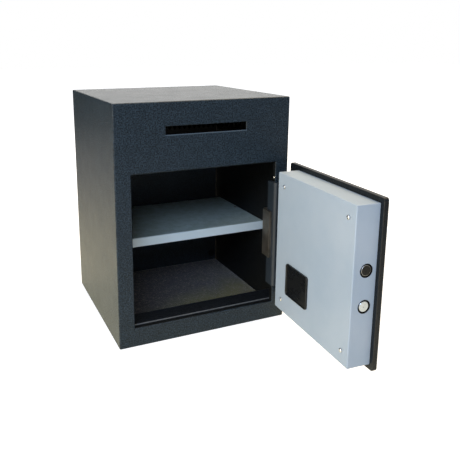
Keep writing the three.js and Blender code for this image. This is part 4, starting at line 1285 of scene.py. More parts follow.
@dataclass
class Assembly:
    """A sub-assembly of the safe: it builds its pieces and puts each on its CAD body."""

    body: str = "cabinet"
    opened: bool = False
    made: list[str] = field(default_factory=list)

    def install(
        self, piece: Piece, finish: Finish, nodes: Sequence[str] = (), slot: str = "", body: str = ""
    ) -> Piece:
        """Dresses a piece, puts it in place and hides the CAD nodes that it stands for.

        Args:
            piece: The piece, drawn with the door shut.
            finish: Its finish.
            nodes: The CAD nodes that it stands for.
            slot: A material slot's name, which is not used.
            body: The CAD body that it rides on, if it isn't the sub-assembly's own.

        Returns:
            The piece.
        """
        finish.dress(piece)
        if self.opened:
            piece.matrix_world = SAFE.door_open @ piece.matrix_world
        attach(piece, body or self.body)
        if nodes:
            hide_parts(*nodes)
        self.made.append(piece.name)
        LOG.info("%s on %s", piece.name, body or self.body)
        return piece

    def carry(self, finish: Finish, *nodes: str, width: float = 0.25) -> None:
        """Keeps CAD nodes as they are, with a finish and broken edges.

        Args:
            finish: Their finish.
            nodes: The CAD nodes.
            width: How far their sharp edges are broken.
        """
        for node in nodes:
            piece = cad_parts[node]
            finish.dress(piece)
            smooth(bevelled(piece, width, 50.0), keep_mesh=True)
            self.made.append(node)
            LOG.info("%s kept from the CAD frame", node)


@dataclass
class DoorAssembly(Assembly):
    """A sub-assembly that hangs on the door, drawn with the door shut."""

    body: str = "door"
    opened: bool = True


@dataclass
class Cabinet(Assembly):
    """The welded sheet-steel box with its slot, stop frame and hinge lugs."""

    corner: float = 2.6
    hollow_corner: float = 0.8
    reveal_corner: float = 1.5
    slot_width: float = 160.0
    slot_height: float = 15.0
    slot_drop: float = 44.0
    lip: float = 1.4
    mouth_corner: float = 0.5
    reveal: float = 2.0
    anchor: float = 6.0
    anchor_place: Span = (110.0, 75.0)
    rivet: float = 1.5
    rivet_setback: float = 4.5
    rivet_drop: float = 32.5
    frame_sheet: float = 2.0
    bend: float = 0.4
    upstand: float = 20.0
    strike: float = 12.0

    def build(self) -> None:
        """Builds every cabinet piece."""
        self.shell()
        self.stop_frame()
        self.carry(Finishes.BACK, "back_panel")
        self.carry(Finishes.INSIDE, "hinge_lug_lower", "hinge_lug_upper")
        self.carry(Finishes.INSIDE, "shelf_rail_left", "shelf_rail_right")
        self.carry(Finishes.GUARD, "slot_chute", "fishing_guard")
        self.carry(Finishes.BLACK, "back_plug_left", "back_plug_right")
        self.carry(Finishes.BRIGHT, "hinge_pin", "jamb_rivet")

    def mouth(self, name: str, x: Span, z: Span) -> Piece:
        """A cutter for a hole in the front whose rim is turned in.

        Args:
            name: The cutter's name.
            x: The hole's left and right edge.
            z: The hole's bottom and top edge.

        Returns:
            The cutter.
        """
        depths = [self.lip * math.sin(math.pi / 8 * i) for i in range(5)]
        levels = [(SAFE.front - OVERCUT, -self.lip)]
        levels += [(SAFE.front + depth, depth - self.lip - SLIVER) for depth in depths]
        levels.append((SAFE.stop_face + OVERCUT, 0.0))
        return Panel.between(x, z, self.mouth_corner, 3).loft(name, levels)

    def shell(self) -> None:
        """The box itself: rolled edges, the opening with its reveal, the slot and the anchor holes."""
        sheet, middle = SAFE.sheet, SAFE.height / 2
        box = Panel(0, middle, SAFE.width, SAFE.height, self.corner)
        shell = box.loft("cabinet_body", eased(SAFE.front, SAFE.back, self.corner, 5, Rim.LOW)[::-1])
        hollow = Panel(0, middle, SAFE.width - 2 * sheet, SAFE.height - 2 * sheet, self.hollow_corner, 3)
        carve(shell, hollow.loft("hollow", [(SAFE.front + sheet, 0), (SAFE.back + OVERCUT, 0)]))
        (left, right), (low, high) = SAFE.opening
        step = self.reveal
        edges = ((left - step, right + step), (low - step, high + step))
        ring = Panel.between(*edges, self.reveal_corner)
        levels = [(SAFE.front + sheet / 2, 0), (SAFE.stop_face - SEAT, 0)]
        combine(shell, [ring.loft("reveal", levels)], Operation.JOIN)
        centre, half = (left + right) / 2, self.slot_width / 2
        top = SAFE.height - self.slot_drop
        cutters = [
            self.mouth("opening", (left, right), (low, high)),
            self.mouth("slot", (centre - half, centre + half), (top - self.slot_height, top)),
        ]
        across, deep = self.anchor_place
        for place in ((-across, -deep), (-across, deep), (across, -deep), (across, deep)):
            cutters.append(rod("anchor", Axis.Z, place, self.anchor, -OVERCUT, sheet + OVERCUT))
        place = (SAFE.front + self.rivet_setback, high - self.rivet_drop)
        cutters.append(rod("rivet_hole", Axis.X, place, self.rivet, right - OVERCUT, right + REACH))
        carve(shell, *cutters)
        self.install(smooth(shell), Finishes.CABINET, ["cabinet_shell"], "charcoal_paint")

    def stop_frame(self) -> None:
        """The folded channels that the door shuts against, with the bolt holes in the strike jamb."""
        stop, rear, half = SAFE.stop_face, SAFE.pan_face, SAFE.wall - SEAT
        (left, _), (low, high) = SAFE.opening
        face, sill, head = left + SAFE.stop_lip, low + SAFE.stop_lip, high - SAFE.stop_lip
        path = [(stop, low - self.upstand), (stop, sill), (rear, sill), (rear, SAFE.sheet + SEAT)]
        self.channel("sill_channel", "frame_sill", path, Axis.X, (-half, half), Finishes.STOP)
        path = [(rear, high + self.upstand), (rear, head), (stop, head), (stop, high + self.upstand)]
        self.channel("head_channel", "frame_head", path, Axis.X, (-half, half), Finishes.INSIDE)
        path = [(-half, rear), (face, rear), (face, stop), (left - self.upstand / 2, stop)]
        ends, span = (face - REACH, face + OVERCUT), (sill + SEAT, head - SEAT)
        holes = [rod("strike", Axis.X, bolt, self.strike, *ends) for bolt in SAFE.bolts.values()]
        self.channel("strike_channel", "strike_jamb", path, Axis.Z, span, Finishes.INSIDE, holes)

    def channel(
        self,
        name: str,
        node: str,
        path: Outline,
        axis: Axis,
        span: Span,
        finish: Finish,
        holes: Sequence[Piece] = (),
    ) -> None:
        """One folded channel of the stop frame.

        Args:
            name: The channel's name.
            node: The CAD node that it stands for.
            path: One face of its sheet, with the metal to its right.
            axis: The direction that it runs in.
            span: Its two ends.
            finish: Its finish.
            holes: Cutters for its holes.
        """
        piece = prism(name, axis, folded_sheet(path, self.frame_sheet, self.bend), *span)
        if holes:
            carve(piece, *holes)
        self.install(smooth(deburr(piece)), finish, [node], "charcoal_paint")


@dataclass
class Fittings(Assembly):
    """The shelf, its screws and the felt mat."""

    height: float = 182.0
    setback: float = 84.0
    depth: float = 216.0
    lip: float = 18.0
    sheet: float = 1.5
    bend: float = 0.8
    side_gap: float = 1.5
    screw_hole: float = 1.8
    screw_inset: float = 9.0
    screw_setback: float = 201.0
    mat_thickness: float = 9.0
    mat_gap: float = 1.0
    mat_pitch: float = 4.0
    mat_wear: float = 0.35
    mat_swell: float = 0.22
    mat_ripple: float = 0.1
    mat_edge: Span = (1.0, 1.1)
    mat_shoulder: Span = (4.8, 0.25)

    def build(self) -> None:
        """Builds the shelf and the mat."""
        self.shelf()
        self.mat()
        self.carry(Finishes.ZINC, "shelf_screw_left", "shelf_screw_right", width=0.1)

    def shelf(self) -> None:
        """A folded sheet with deep lips and soft bends."""
        front, top = SAFE.front + self.setback, self.height
        back, low = front + self.depth, top - self.lip
        path = [(front, low), (front, top), (back, top), (back, low)]
        half = SAFE.wall - self.side_gap
        piece = prism("shelf_sheet", Axis.X, folded_sheet(path, self.sheet, self.bend), -half, half)
        for side in (-1, 1):
            place = (side * (SAFE.wall - self.screw_inset), SAFE.front + self.screw_setback)
            carve(piece, rod("hole", Axis.Z, place, self.screw_hole, top - REACH, top + OVERCUT))
        self.install(smooth(deburr(piece, 0.2)), Finishes.SHELF, ["shelf"], "pale_paint")

    def dip(self, x: float, y: float, rim: float) -> float:
        """How far the felt's top lies below its full height.

        Args:
            x: The place along X.
            y: The place along Y.
            rim: How far the place is from the nearest cut edge.

        Returns:
            The dip.
        """
        swell = math.sin(x * 0.021 + 1.3) * math.sin(y * 0.027 + 0.4)
        ripple = math.sin(x * 0.13 + y * 0.05) * math.sin(y * 0.17 - x * 0.04)
        drops = (drop for reach, drop in (self.mat_edge, self.mat_shoulder) if rim < reach)
        return self.mat_wear + self.mat_swell * swell + self.mat_ripple * ripple + next(drops, 0.0)

    def mat(self) -> None:
        """A felt mat with a slightly uneven top and soft cut edges."""
        half, base = SAFE.wall - self.mat_gap, SAFE.sheet + SEAT
        front, back = SAFE.pan_face + self.mat_gap, SAFE.back - SAFE.sheet - self.mat_gap
        columns, rows = round(2 * half / self.mat_pitch), round((back - front) / self.mat_pitch)
        mesh = bmesh.new()
        grid = {}
        for k in range(rows + 1):
            for i in range(columns + 1):
                x, y = -half + 2 * half * i / columns, front + (back - front) * k / rows
                top = base + self.mat_thickness - self.dip(x, y, min(half - abs(x), y - front, back - y))
                grid[i, k] = [mesh.verts.new(Vector((x, y, z)) * MM) for z in (base, top)]
        for k in range(rows):
            for i in range(columns):
                cell = (grid[i, k], grid[i + 1, k], grid[i + 1, k + 1], grid[i, k + 1])
                mesh.faces.new([corner[0] for corner in reversed(cell)])
                mesh.faces.new([corner[1] for corner in cell])
        rim = [grid[i, 0] for i in range(columns)] + [grid[columns, k] for k in range(rows)]
        rim += [grid[i, rows] for i in range(columns, 0, -1)] + [grid[0, k] for k in range(rows, 0, -1)]
        for here, after in zip(rim, rim[1:] + rim[:1]):
            mesh.faces.new((here[0], after[0], after[1], here[1]))
        piece = mesh_object("felt_mat", mesh)
        self.install(smooth(piece, 70.0), Finishes.FELT, ["floor_mat"], "felt")


@dataclass
class BatteryBay(DoorAssembly):
    """The tray, the cells and the cover on the pan."""

    width: float = 74.0
    height: float = 62.0
    from_hinge_edge: float = 76.3
    bottom: float = 91.5
    corner: float = 5.0
    thickness: float = 3.5
    rim: float = 3.0
    dish: Levels = ((0.15, -0.6), (1.2, 0.0), (1.5, 0.8))
    lid_round: float = 0.9
    lid_skirt: float = 0.5
    window: Span = (60.7, 52.3)
    notch: Span = (5.0, 13.0)
    notch_corner: float = 2.4
    notch_floor: Levels = ((1.2, 0.6), (0.9, 0.2))
    notch_drop: float = 17.0
    cells: int = 4

    @property
    def middle(self) -> Span:
        """The cover's middle."""
        return SAFE.plate[0][1] - self.from_hinge_edge - self.width / 2, self.bottom + self.height / 2

    def window_cutter(self) -> Piece:
        """A cutter for the pan's window.

        Returns:
            The cutter.
        """
        (x, z), (width, height) = self.middle, self.window
        y = (SAFE.pan_face - REACH, SAFE.pan_face + OVERCUT)
        return block("window", (x - width / 2, x + width / 2), y, (z - height / 2, z + height / 2))

    def build(self) -> None:
        """Builds the cover and dresses the tray and the cells."""
        x, z = self.middle
        back = SAFE.pan_face + SEAT
        face = back + self.thickness
        levels = [(back, 0.0)] + eased(back + self.lid_skirt, face, self.lid_round, 4, Rim.HIGH)
        levels += [(face - depth, self.rim + inset) for depth, inset in self.dish]
        piece = Panel(x, z, self.width, self.height, self.corner).loft("battery_lid", levels)
        place = (x - self.width / 2, z + self.height / 2 - self.notch_drop)
        notch = Panel(*place, *self.notch, self.notch_corner)
        floor = [(face - depth, inset) for depth, inset in self.notch_floor]
        carve(piece, notch.loft("notch", floor + [(face + OVERCUT, 0)]))
        self.install(smooth(piece), Finishes.LID, ["battery_cover"], "black_plastic", "battery_cover")
        self.carry(Finishes.BLACK, "battery_tray")
        self.carry(Finishes.JACKET, *(f"battery_{i + 1}" for i in range(self.cells)), width=0.4)


@dataclass
class Door(DoorAssembly):
    """The plate, the pan with its screws, and the gooseneck hinge."""

    plate_corner: float = 5.0
    plate_rim: float = 1.1
    cable_hole: float = 5.0
    cable_inset: float = 34.0
    pan_hinge_margin: float = 32.3
    pan_free_margin: float = 8.0
    pan_margin: float = 9.3
    pan_sheet: float = 1.5
    pan_corner: float = 1.8
    bolt_hole: float = 11.2
    screw_hole: float = 2.3
    screw_shank: float = 2.0
    screw_head: float = 3.6
    screw_depth: float = 6.0
    tapped_rest: float = 0.6
    screw_rim: float = 0.6
    screw_dome: float = 1.6
    dome_turns: tuple[float, ...] = (0.0, 0.3, 0.6, 0.9, 1.2, 1.4)
    recess: Span = (2.1, 0.45)
    recess_floor: float = 1.15
    recess_turns: Span = (17.0, 31.0)
    dimple: Span = (4.1, 6.2)
    dimple_depth: float = 0.7
    screw_free: float = 19.5
    screw_hinge: float = 24.2
    screw_height: float = 23.5
    arm: float = 7.0
    arm_front: float = 29.4
    arm_rear: float = 21.0
    arm_end: float = 8.0
    arm_bends: Span = (1.0, 8.0)
    arm_round: float = 0.8
    arm_height: float = 213.0
    knuckle: float = 5.0
    knuckle_height: float = 95.0
    knuckle_length: float = 27.6
    knuckle_round: float = 6.7
    eye: float = 5.3
    bore: float = 3.6

    @property
    def pan(self) -> tuple[Span, Span]:
        """The pan's edges: left and right, then bottom and top."""
        (left, right), (low, high) = SAFE.plate
        margin = self.pan_margin
        return (left + self.pan_free_margin, right - self.pan_hinge_margin), (low + margin, high - margin)

    @property
    def screws(self) -> list[Span]:
        """The places of the pan's screws."""
        (left, right), (low, high) = self.pan
        heights = (low + self.screw_height, high - self.screw_height)
        return [(x, z) for x in (left + self.screw_free, right - self.screw_hinge) for z in heights]

    def build(self) -> None:
        """Builds every door piece but the lock's."""
        self.slab()
        self.cover()
        for i, place in enumerate(self.screws):
            self.screw(i + 1, place)
        self.hinge_arm()
        self.knuckle_block()

    def slab(self) -> None:
        """The thick plate with round corners and eased rims."""
        panel = Panel.between(*SAFE.plate, self.plate_corner, 8)
        piece = panel.loft("door_slab", eased(SAFE.front, SAFE.plate_inner, self.plate_rim))
        x, z = SAFE.spindle
        low, high = SAFE.front - OVERCUT, SAFE.plate_inner + OVERCUT
        cutters = [
            rod("spindle_hole", Axis.Y, (x, z), SAFE.spindle_hole, low, high),
            rod("cable_hole", Axis.Y, (x + self.cable_inset, z), self.cable_hole, low, high),
        ]
        tapped = SAFE.plate_inner - self.screw_depth - self.tapped_rest
        cutters += [rod("tapped", Axis.Y, place, self.screw_hole, tapped, high) for place in self.screws]
        self.install(smooth(carve(piece, *cutters)), Finishes.PLATE, ["door_plate"], "charcoal_paint")

    def cover(self) -> None:
        """The folded cover, with holes for the bolts, the screws and the batteries."""
        (left, _), _ = self.pan
        sheet, face, mouth = self.pan_sheet, SAFE.pan_face, SAFE.plate_inner + SEAT
        levels = [(face - sheet, sheet), (mouth, sheet)] + eased(mouth, face, self.pan_corner, 4, Rim.HIGH)
        piece = Panel.between(*self.pan, self.pan_corner, 4).loft("door_cover", levels)
        (floor, rim), base, proud = self.dimple, face - self.dimple_depth, face + OVERCUT
        dimple = [(0, base), (floor, base), (rim, face), (rim, proud), (0, proud)]
        cutters = [
            rod("bolt_hole", Axis.X, bolt, self.bolt_hole, left - OVERCUT, left + REACH)
            for bolt in SAFE.bolts.values()
        ]
        low, hole = face - REACH, self.screw_hole
        cutters += [rod("screw_hole", Axis.Y, place, hole, low, proud) for place in self.screws]
        cutters += [turned("dimple", Axis.Y, place, dimple) for place in self.screws]
        cutters.append(BatteryBay().window_cutter())
        self.install(smooth(carve(piece, *cutters)), Finishes.PALE, ["door_pan"], "pale_paint")

    def screw(self, number: int, place: Span) -> None:
        """One pan-head screw with a cross recess, each turned a different way.

        Args:
            number: The screw's number.
            place: Its middle.
        """
        seat, end = SAFE.pan_face + SEAT, SAFE.plate_inner - self.screw_depth
        head, shank = self.screw_head, self.screw_shank
        rim, rise, floor = seat + self.screw_rim, self.screw_dome, seat + self.recess_floor
        first, step = self.recess_turns
        dome = [(head * math.cos(t), rim + rise * math.sin(t)) for t in self.dome_turns]
        profile = [(0, end), (shank, end), (shank, seat), (head, seat)] + dome + [(0, rim + rise)]
        piece = turned(f"cross_screw_{number}", Axis.Y, place, profile)
        bars = []
        for wide, tall in (self.recess, self.recess[::-1]):
            bar = block("recess", (-wide, wide), (floor, floor + OVERCUT), (-tall, tall))
            bar.data.transform(spun(place, first + step * (number - 1)))
            bars.append(bar)
        self.install(smooth(carve(piece, *bars)), Finishes.BRIGHT, [f"pan_screw_{number}"], "bright_steel")

    def hinge_arm(self) -> None:
        """The bent arm that reaches round the jamb."""
        x, y = SAFE.pin
        front, inner = SAFE.plate_inner + SEAT, y + self.arm_rear
        outer, left, end = inner + self.arm, x - self.arm_front - self.arm, x - self.arm_end
        corners = [(left, front), (left + self.arm, front), (left + self.arm, inner)]
        corners += [(end, inner), (end, outer), (left, outer)]
        outline = softened(corners, [0, 0, self.arm_bends[0], 0, 0, self.arm_bends[1]], 8)
        middle, half = SAFE.plate_middle, self.arm_height / 2
        piece = prism("gooseneck_arm", Axis.Z, outline, middle - half, middle + half)
        piece = smooth(deburr(piece, self.arm_round))
        self.install(piece, Finishes.HINGE, ["hinge_arm"], "charcoal_paint")

    def knuckle_block(self) -> None:
        """The block on the arm that turns on the pin."""
        x, y = SAFE.pin
        near = y + self.arm_rear + self.arm + SEAT
        far, eye, turn = near + self.knuckle, self.eye, self.knuckle_round
        outline = arc(x, y, eye, 180, 360, 14) + arc(x + eye - turn, far - turn, turn, 0, 90, 8)
        outline += [(x - self.knuckle_length, far), (x - self.knuckle_length, near), (x - eye, near)]
        low, high = (SAFE.plate_middle + side * self.knuckle_height / 2 for side in (-1, 1))
        piece = prism("pin_knuckle", Axis.Z, outline, low, high)
        carve(piece, rod("bore", Axis.Z, (x, y), self.bore, low - OVERCUT, high + OVERCUT))
        self.install(smooth(deburr(piece, 0.4)), Finishes.ZINC, ["hinge_knuckle"], "dull_steel")


@dataclass
class Lock(DoorAssembly):
    """The bolts, the carriage, the solenoid and the knob."""

    bolt: float = 10.0
    length: float = 36.0
    tenon: float = 4.5
    tenon_length: float = 8.0
    bolt_play: float = 0.25
    bolt_inset: float = 0.7
    centre_mark: Levels = ((0.0, 0.7), (1.1, 0.1), (1.3, 0.0))
    chamfer: Levels = ((1.7, 0.0), (1.3, 0.1), (0.2, 1.3), (0.0, 1.7))
    bush_play: float = 0.15
    skirt: float = 11.1
    flange: float = 11.6
    flange_height: float = 0.4
    flange_round: float = 0.3
    flange_seat: float = 0.03
    bush_length: float = 3.5
    knob: float = 21.0
    knob_rim: float = 6.0
    knob_ease: Levels = ((3.0, 0.0), (1.2, 0.5), (0.3, 1.5), (0.0, 2.5))
    knob_turn: float = 40.0
    knob_bore: float = 10.3
    grip_height: float = 20.0
    grip: Panel = Panel(0, 0, 11, 39, 5, 8)
    grip_overlap: float = 1.5
    grip_round: float = 1.8
    mark: Panel = Panel(0, 13, 1.6, 9, 0.8, 4)
    mark_rise: float = 0.12
    mark_root: float = 0.2
    flutes: int = 24
    flute: float = 1.6
    flute_setback: float = 1.1
    flute_ends: Span = (2.2, 3.0)

    def build(self) -> None:
        """Builds the bolts and the knob and dresses what drives them."""
        left = Door().pan[0][0]
        for name, axis in SAFE.bolts.items():
            self.locking_bolt(name, left - SEAT, axis)
            self.bush(name, left, axis)
        self.carry(Finishes.ZINC, "bolt_carriage", "drive_cam", "bolt_guide", "solenoid_body")
        self.carry(Finishes.BRIGHT, "spindle", "solenoid_plunger", "carriage_stud")
        self.turning_knob()

    def locking_bolt(self, name: str, end: float, axis: Span) -> None:
        """A round bolt with a chamfered, centre-marked nose.

        Args:
            name: Which bolt it is.
            end: Where its nose is.
            axis: Its axis.
        """
        nose, radius, tail = end + self.bolt_inset, self.bolt - self.bolt_play, end + self.length
        profile = [(reach, nose + depth) for reach, depth in self.centre_mark]
        profile += [(radius - inset, nose + depth) for inset, depth in self.chamfer]
        profile += [(radius, tail - SEAT), (self.tenon, tail - SEAT)]
        profile += [(self.tenon, tail + self.tenon_length), (0, tail + self.tenon_length)]
        piece = turned(f"bolt_bar_{name}", Axis.X, axis, profile, 64)
        finish = Finishes.BOLT if name == "lower" else Finishes.DARK_NOSED
        self.install(smooth(piece), finish, [f"bolt_{name}"], "bright_steel", "boltwork")

    def bush(self, name: str, side: float, axis: Span) -> None:
        """A thin black plastic bush that lines a bolt's hole in the pan and also paints the shade of the gap
        round the bolt.

        Args:
            name: Which bolt it is for.
            side: The pan's free side.
            axis: The bolt's axis.
        """
        bore, skirt, flange, inner = self.bolt + self.bush_play, self.skirt, self.flange, self.bush_length
        ease, face, seat = self.flange_round, -self.flange_height, -self.flange_seat
        section = [(bore, inner), (bore, 0.0), (bore + ease, face), (flange - ease, face)]
        section += [(flange, seat), (skirt, seat), (skirt, inner), (bore, inner)]
        rings = [(side + along, arc(*axis, radius, 0, 360, 48)[:-1]) for radius, along in section]
        self.install(smooth(loft(f"bolt_bush_{name}", Axis.X, rings, capped=False)), Finishes.BUSH)

    def turning_knob(self) -> None:
        """The outside knob: a round skirt with grip flutes, a finger bar and a mark."""
        (x, z), radius = SAFE.spindle, self.knob
        back = SAFE.front - 2 * SEAT - SAFE.keypad_thickness
        front, top = back - self.knob_rim, back - self.grip_height
        profile = [(0, front)] + [(radius - inset, front + depth) for inset, depth in self.knob_ease]
        profile += [(radius, back), (0, back)]
        piece = turned("turning_knob", Axis.Y, (x, z), profile, 64)
        grip = self.grip.loft("grip", eased(top, front + self.grip_overlap, self.grip_round, 5, Rim.LOW))
        grip.data.transform(spun((x, z), self.knob_turn))
        combine(piece, [grip], Operation.JOIN)
        cutters = [rod("bore", Axis.Y, (x, z), SAFE.spindle_hole, back - self.knob_bore, back + OVERCUT)]
        reach, start = radius + self.flute_setback, 180 / self.flutes
        low, high = front + self.flute_ends[0], back + self.flute_ends[1]
        for place in arc(x, z, reach, start, 360 + start, self.flutes)[:-1]:
            cutters.append(rod("flute", Axis.Y, place, self.flute, low, high))
        self.install(smooth(carve(piece, *cutters)), Finishes.BLACK, ["knob"], "black_plastic", "knob")
        mark = self.mark.loft("knob_mark", [(top - self.mark_rise, 0), (top + self.mark_root, 0)])
        mark.data.transform(spun((x, z), self.knob_turn))
        self.install(smooth(mark), Finishes.MARK, body="knob")


@dataclass
class Keypad(DoorAssembly):
    """The housing outside the door, its keys and its lamp."""

    width: float = 142.0
    height: float = 92.0
    corner: float = 12.0
    rim: float = 3.2
    wall: float = 2.5
    middle: float = 37.0
    keys_middle: float = 72.0
    key: Span = (14.4, 12.4)
    pitch: Span = (19.0, 18.0)
    key_corner: float = 3.0
    key_dish: Levels = ((0.35, 2.6), (0.12, 1.6), (0.0, 0.95), (0.05, 0.6), (0.3, 0.2), (0.8, 0.0))
    key_gap: float = 0.3
    key_rise: float = 1.5
    key_clearance: float = 1.2
    board: float = 1.6
    lamp: float = 2.8
    lamp_rise: float = 33.0
    letter: float = 8.0
    letter_relief: float = 0.1
    legends: tuple[str, ...] = (*"123456789", "clear", "0", "enter")
    columns: int = 3

    def places(self) -> dict[str, Span]:
        """Each key's middle, by its legend.

        Returns:
            The places.
        """
        (x, z), (across, up) = SAFE.spindle, self.pitch
        rows = len(self.legends) // self.columns
        left, top = x + self.keys_middle - (self.columns - 1) / 2 * across, z + (rows - 1) / 2 * up
        return {
            legend: (left + i % self.columns * across, top - i // self.columns * up)
            for i, legend in enumerate(self.legends)
        }

    def build(self) -> None:
        """Builds the housing, the keys and their legends."""
        back = SAFE.front - SEAT
        face = back - SAFE.keypad_thickness
        x, z = SAFE.spindle
        panel = Panel(x + self.middle, z, self.width, self.height, self.corner, 8)
        levels = [(face + self.wall, self.wall), (back, self.wall), (back, 0.0)]
        piece = panel.loft("keypad_shell", levels + eased(face, back, self.rim, 6, Rim.LOW)[-2::-1])
        low, high = face - OVERCUT, face + REACH
        cutters = [rod("spindle_hole", Axis.Y, (x, z), SAFE.spindle_hole, low, high)]
        cutters.append(rod("lamp_hole", Axis.Y, (x, z + self.lamp_rise), self.lamp, low, high))
        gap = 2 * self.key_gap
        for place in self.places().values():
            hole = Panel(*place, self.key[0] + gap, self.key[1] + gap, self.key_corner + gap / 2, 4)
            cutters.append(hole.loft("key_hole", [(low, 0), (high, 0)]))
        self.install(smooth(carve(piece, *cutters)), Finishes.BLACK, ["keypad_housing"], "black_plastic")
        self.carry(Finishes.BOARD, "keypad_board")
        self.carry(Finishes.LENS, "status_lens", width=0.3)
        foot = back - self.board - SEAT - self.key_clearance
        for legend, place in self.places().items():
            self.cap(legend, place, face - self.key_rise, foot)
            self.legend(legend, place, face - self.key_rise + self.key_dish[0][0])

    def cap(self, legend: str, place: Span, low: float, high: float) -> None:
        """One key with a dished top.

        Args:
            legend: What the key is for.
            place: Its middle.
            low: Its outer end.
            high: Its inner end.
        """
        name = f"key_{legend}"
        levels = [(low + depth, inset) for depth, inset in self.key_dish] + [(high, 0)]
        piece = Panel(*place, *self.key, self.key_corner, 5).loft(f"cap_{legend}", levels)
        self.install(smooth(piece, 50), Finishes.KEY, [name], "key_plastic", name)

    def legend(self, legend: str, place: Span, depth: float) -> None:
        """The print on one key.

        Args:
            legend: What the key is for.
            place: The key's middle.
            depth: Where the middle of the print is, in the key's dish.
        """
        name = f"legend_{legend}"
        curve = bpy.data.curves.new(name, "FONT")
        curve.body = {"clear": "C", "enter": "E"}.get(legend, legend)
        curve.size = self.letter * MM
        curve.extrude = self.letter_relief * MM
        curve.align_x, curve.align_y = "CENTER", "CENTER"
        text = bpy.data.objects.new(name, curve)
        bpy.context.scene.collection.objects.link(text)
        bpy.context.view_layer.update()
        graph = bpy.context.evaluated_depsgraph_get()
        data = bpy.data.meshes.new_from_object(text.evaluated_get(graph), depsgraph=graph)
        bpy.data.objects.remove(text)
        bpy.data.curves.remove(curve)
        piece = bpy.data.objects.new(name, data)
        bpy.context.scene.collection.objects.link(piece)
        centre = sum((v.co for v in data.vertices), Vector()) / len(data.vertices)
        upright = Matrix.Rotation(math.radians(90), 4, "X")
        spot = Matrix.Translation(Vector((place[0], depth, place[1])) * MM)
        data.transform(spot @ upright @ Matrix.Translation(Vector((-centre.x, -centre.y, 0))))
        self.install(piece, Finishes.INK, body=f"key_{legend}")


@dataclass(frozen=True)
class Lamp:
    """One area lamp that the camera doesn't see, in metres and watts."""

    name: str
    place: Point
    size: Span
    power: float
    tint: str

    def hang(self, target: Point) -> None:
        """Hangs the lamp and turns it to a point.

        Args:
            target: The point.
        """
        data = bpy.data.lights.new(self.name, "AREA")
        data.shape = "RECTANGLE"
        data.size, data.size_y = self.size
        data.energy = self.power
        data.color = linear(self.tint)[:3]
        lamp = bpy.data.objects.new(self.name, data)
        lamp.location = self.place
        aim = Vector(target) - lamp.location
        lamp.rotation_euler = aim.to_track_quat("-Z", "Y").to_euler()
        lamp.visible_camera = False
        bpy.context.scene.collection.objects.link(lamp)


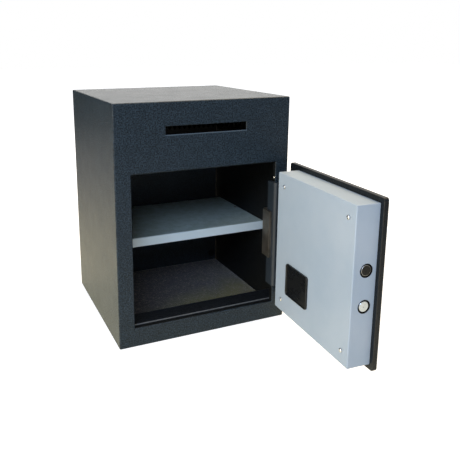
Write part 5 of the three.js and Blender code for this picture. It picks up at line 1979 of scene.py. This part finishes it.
@dataclass
class Studio:
    """The floor, the dark cards, the lamps, the world and the camera."""

    camera_place: Point = (-422.2, -1088.4, 552.2)
    camera_yaw: float = 23.586
    camera_pitch: float = 12.561
    focal_pixels: float = 565.23
    picture: float = 460.0
    sensor: float = 36.0
    shift_right: float = 0.07
    shift_down: float = 0.13
    floor_half: float = 12.0
    floor_level: float = -0.0002
    floor_tones: Span = (0.86, 0.88)
    ambient: float = 0.25
    floor_glow: float = 0.95
    near_glow: float = 0.68
    glow_tint: str = "#fbfcff"
    near: Span = (0.5, 1.5)
    pool_glow: float = 0.86
    pool_tint: str = "#fcefb4"
    pool: Span = (0.1, 1.5)
    card_drift: float = 1.3
    target: Point = (0.05, -0.1, 0.22)
    lamps: tuple[Lamp, ...] = (
        Lamp("front_lamp", (-1.3, -1.8, 1.52), (1.4, 0.65), 26.5, "#c6dbff"),
        Lamp("left_lamp", (-4.0, -1.2, 1.5), (2.2, 1.9), 111.0, "#fff1d2"),
        Lamp("top_lamp", (1.2, 0.2, 2.2), (1.8, 1.6), 42.0, "#ffe6bc"),
        Lamp("back_lamp", (0.7, 2.4, 1.1), (2.2, 1.0), 7.5, "#fffaf2"),
    )

    def build(self) -> None:
        """Sets the whole studio up: cool light from the front, warm light from elsewhere."""
        self.floor()
        self.flag("back_flag", (-4.0, -0.1), 2.3, 2.2, "#2c2412")
        self.flag("front_flag", (-0.2, 3.0), -2.5, 1.5, "#141b22")
        for lamp in self.lamps:
            lamp.hang(self.target)
        self.world()
        self.camera()
        bpy.context.scene.view_settings.view_transform = "Standard"

    @staticmethod
    def card(name: str, corners: Sequence[Point]) -> tuple[Piece, NodeBoard, Socket]:
        """A flat stage piece with an empty material.

        Args:
            name: The piece's name.
            corners: Its corners, in metres.

        Returns:
            The piece, a board for its material and the place on it.
        """
        mesh = bmesh.new()
        mesh.faces.new([mesh.verts.new(corner) for corner in corners])
        piece = mesh_object(name, mesh)
        made = bpy.data.materials.new(name)
        piece.data.materials.append(made)
        board = NodeBoard.blank(made)
        return piece, board, board.add("ShaderNodeTexCoord").outputs["Object"]

    def floor(self) -> None:
        """A white floor with a faint shadow, and a warm pool of light that only reflections see."""
        half, level = self.floor_half, self.floor_level
        corners = [(x, y, level) for x, y in ((-half, -half), (half, -half), (half, half), (-half, half))]
        floor, board, place = self.card("studio_floor", corners)
        tone = board.ramp(board.noise(place, 3.0, 2.0), 0.3, 0.7)
        colour = board.mixed(tone, *((grey, grey, grey, 1) for grey in self.floor_tones))
        diffuse = board.add("ShaderNodeBsdfDiffuse", {"Color": colour}).outputs[0]
        rays = board.add("ShaderNodeLightPath").outputs
        mirrored = board.maths("MAXIMUM", rays["Is Glossy Ray"], rays["Is Transmission Ray"])
        reach = board.vector("LENGTH", place)
        pool = board.maths("MULTIPLY", mirrored, board.ramp(reach, *self.pool, self.pool_glow, 0.0))
        around = board.ramp(reach, *self.near, self.near_glow, self.floor_glow)
        links = {
            "Color": board.mixed(mirrored, self.glow_tint, self.pool_tint),
            "Strength": board.maths("MULTIPLY_ADD", rays["Is Camera Ray"], around, pool),
        }
        glow = board.add("ShaderNodeEmission", links).outputs[0]
        both = board.add("ShaderNodeAddShader", {0: diffuse, 1: glow}).outputs[0]
        board.add("ShaderNodeOutputMaterial", {"Surface": both})
        floor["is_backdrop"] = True

    def flag(self, name: str, x: Span, y: float, height: float, colour: str) -> None:
        """Stands a dark card on the floor that only reflections show.

        Args:
            name: The card's name.
            x: Its left and right edge, in metres.
            y: Its place along Y, in metres.
            height: Its height, in metres.
            colour: Its colour.
        """
        corners = [(u, y, v) for u, v in ((x[0], 0.0), (x[1], 0.0), (x[1], height), (x[0], height))]
        card, board, place = self.card(name, corners)
        tone = board.mixed(board.noise(place, 2.0, 2.0), colour, linear(colour, self.card_drift))
        diffuse = board.add("ShaderNodeBsdfDiffuse", {"Color": tone}).outputs[0]
        board.add("ShaderNodeOutputMaterial", {"Surface": diffuse})
        card.visible_camera = card.visible_diffuse = card.visible_shadow = False
        card.visible_transmission = False
        card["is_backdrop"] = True

    def world(self) -> None:
        """A white surround for the camera and for reflections, and a plain soft light for the rest."""
        world = bpy.data.worlds.new("studio")
        bpy.context.scene.world = world
        board = NodeBoard.blank(world)
        rays = board.add("ShaderNodeLightPath").outputs
        kinds = ("Camera", "Glossy", "Transmission")
        seen = board.fold("MAXIMUM", [rays[f"Is {kind} Ray"] for kind in kinds])
        strength = board.ramp(seen, 0.0, 1.0, self.ambient, 1.0)
        light = board.add("ShaderNodeBackground", {"Color": "#ffffff", "Strength": strength}).outputs[0]
        board.add("ShaderNodeOutputWorld", {"Surface": light})

    def camera(self) -> None:
        """The camera, at the photograph's place and angle."""
        data = bpy.data.cameras.new("camera")
        data.sensor_width = self.sensor
        data.lens = self.focal_pixels / self.picture * self.sensor
        data.shift_x, data.shift_y = self.shift_right, -self.shift_down
        data.clip_start, data.clip_end = 0.05, 60.0
        camera = bpy.data.objects.new("camera", data)
        camera.location = Vector(self.camera_place) * MM
        camera.rotation_euler = (math.radians(90 - self.camera_pitch), 0.0, math.radians(-self.camera_yaw))
        bpy.context.scene.collection.objects.link(camera)
        bpy.context.scene.camera = camera


def main() -> None:
    """Builds the safe and its studio, piece by piece."""
    logging.basicConfig(level=logging.INFO, format="%(message)s")
    parts: tuple[Assembly, ...] = (Cabinet(), Fittings(), Door(), BatteryBay(), Lock(), Keypad())
    for part in parts:
        part.build()
        LOG.info("%s: %d pieces", type(part).__name__, len(part.made))
    Studio().build()
    boxes = {"cad": cad_box, "visual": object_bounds()}
    {name: [list(corner) for corner in box] for name, box in boxes.items()}


if __name__ == "__main__":
    main()
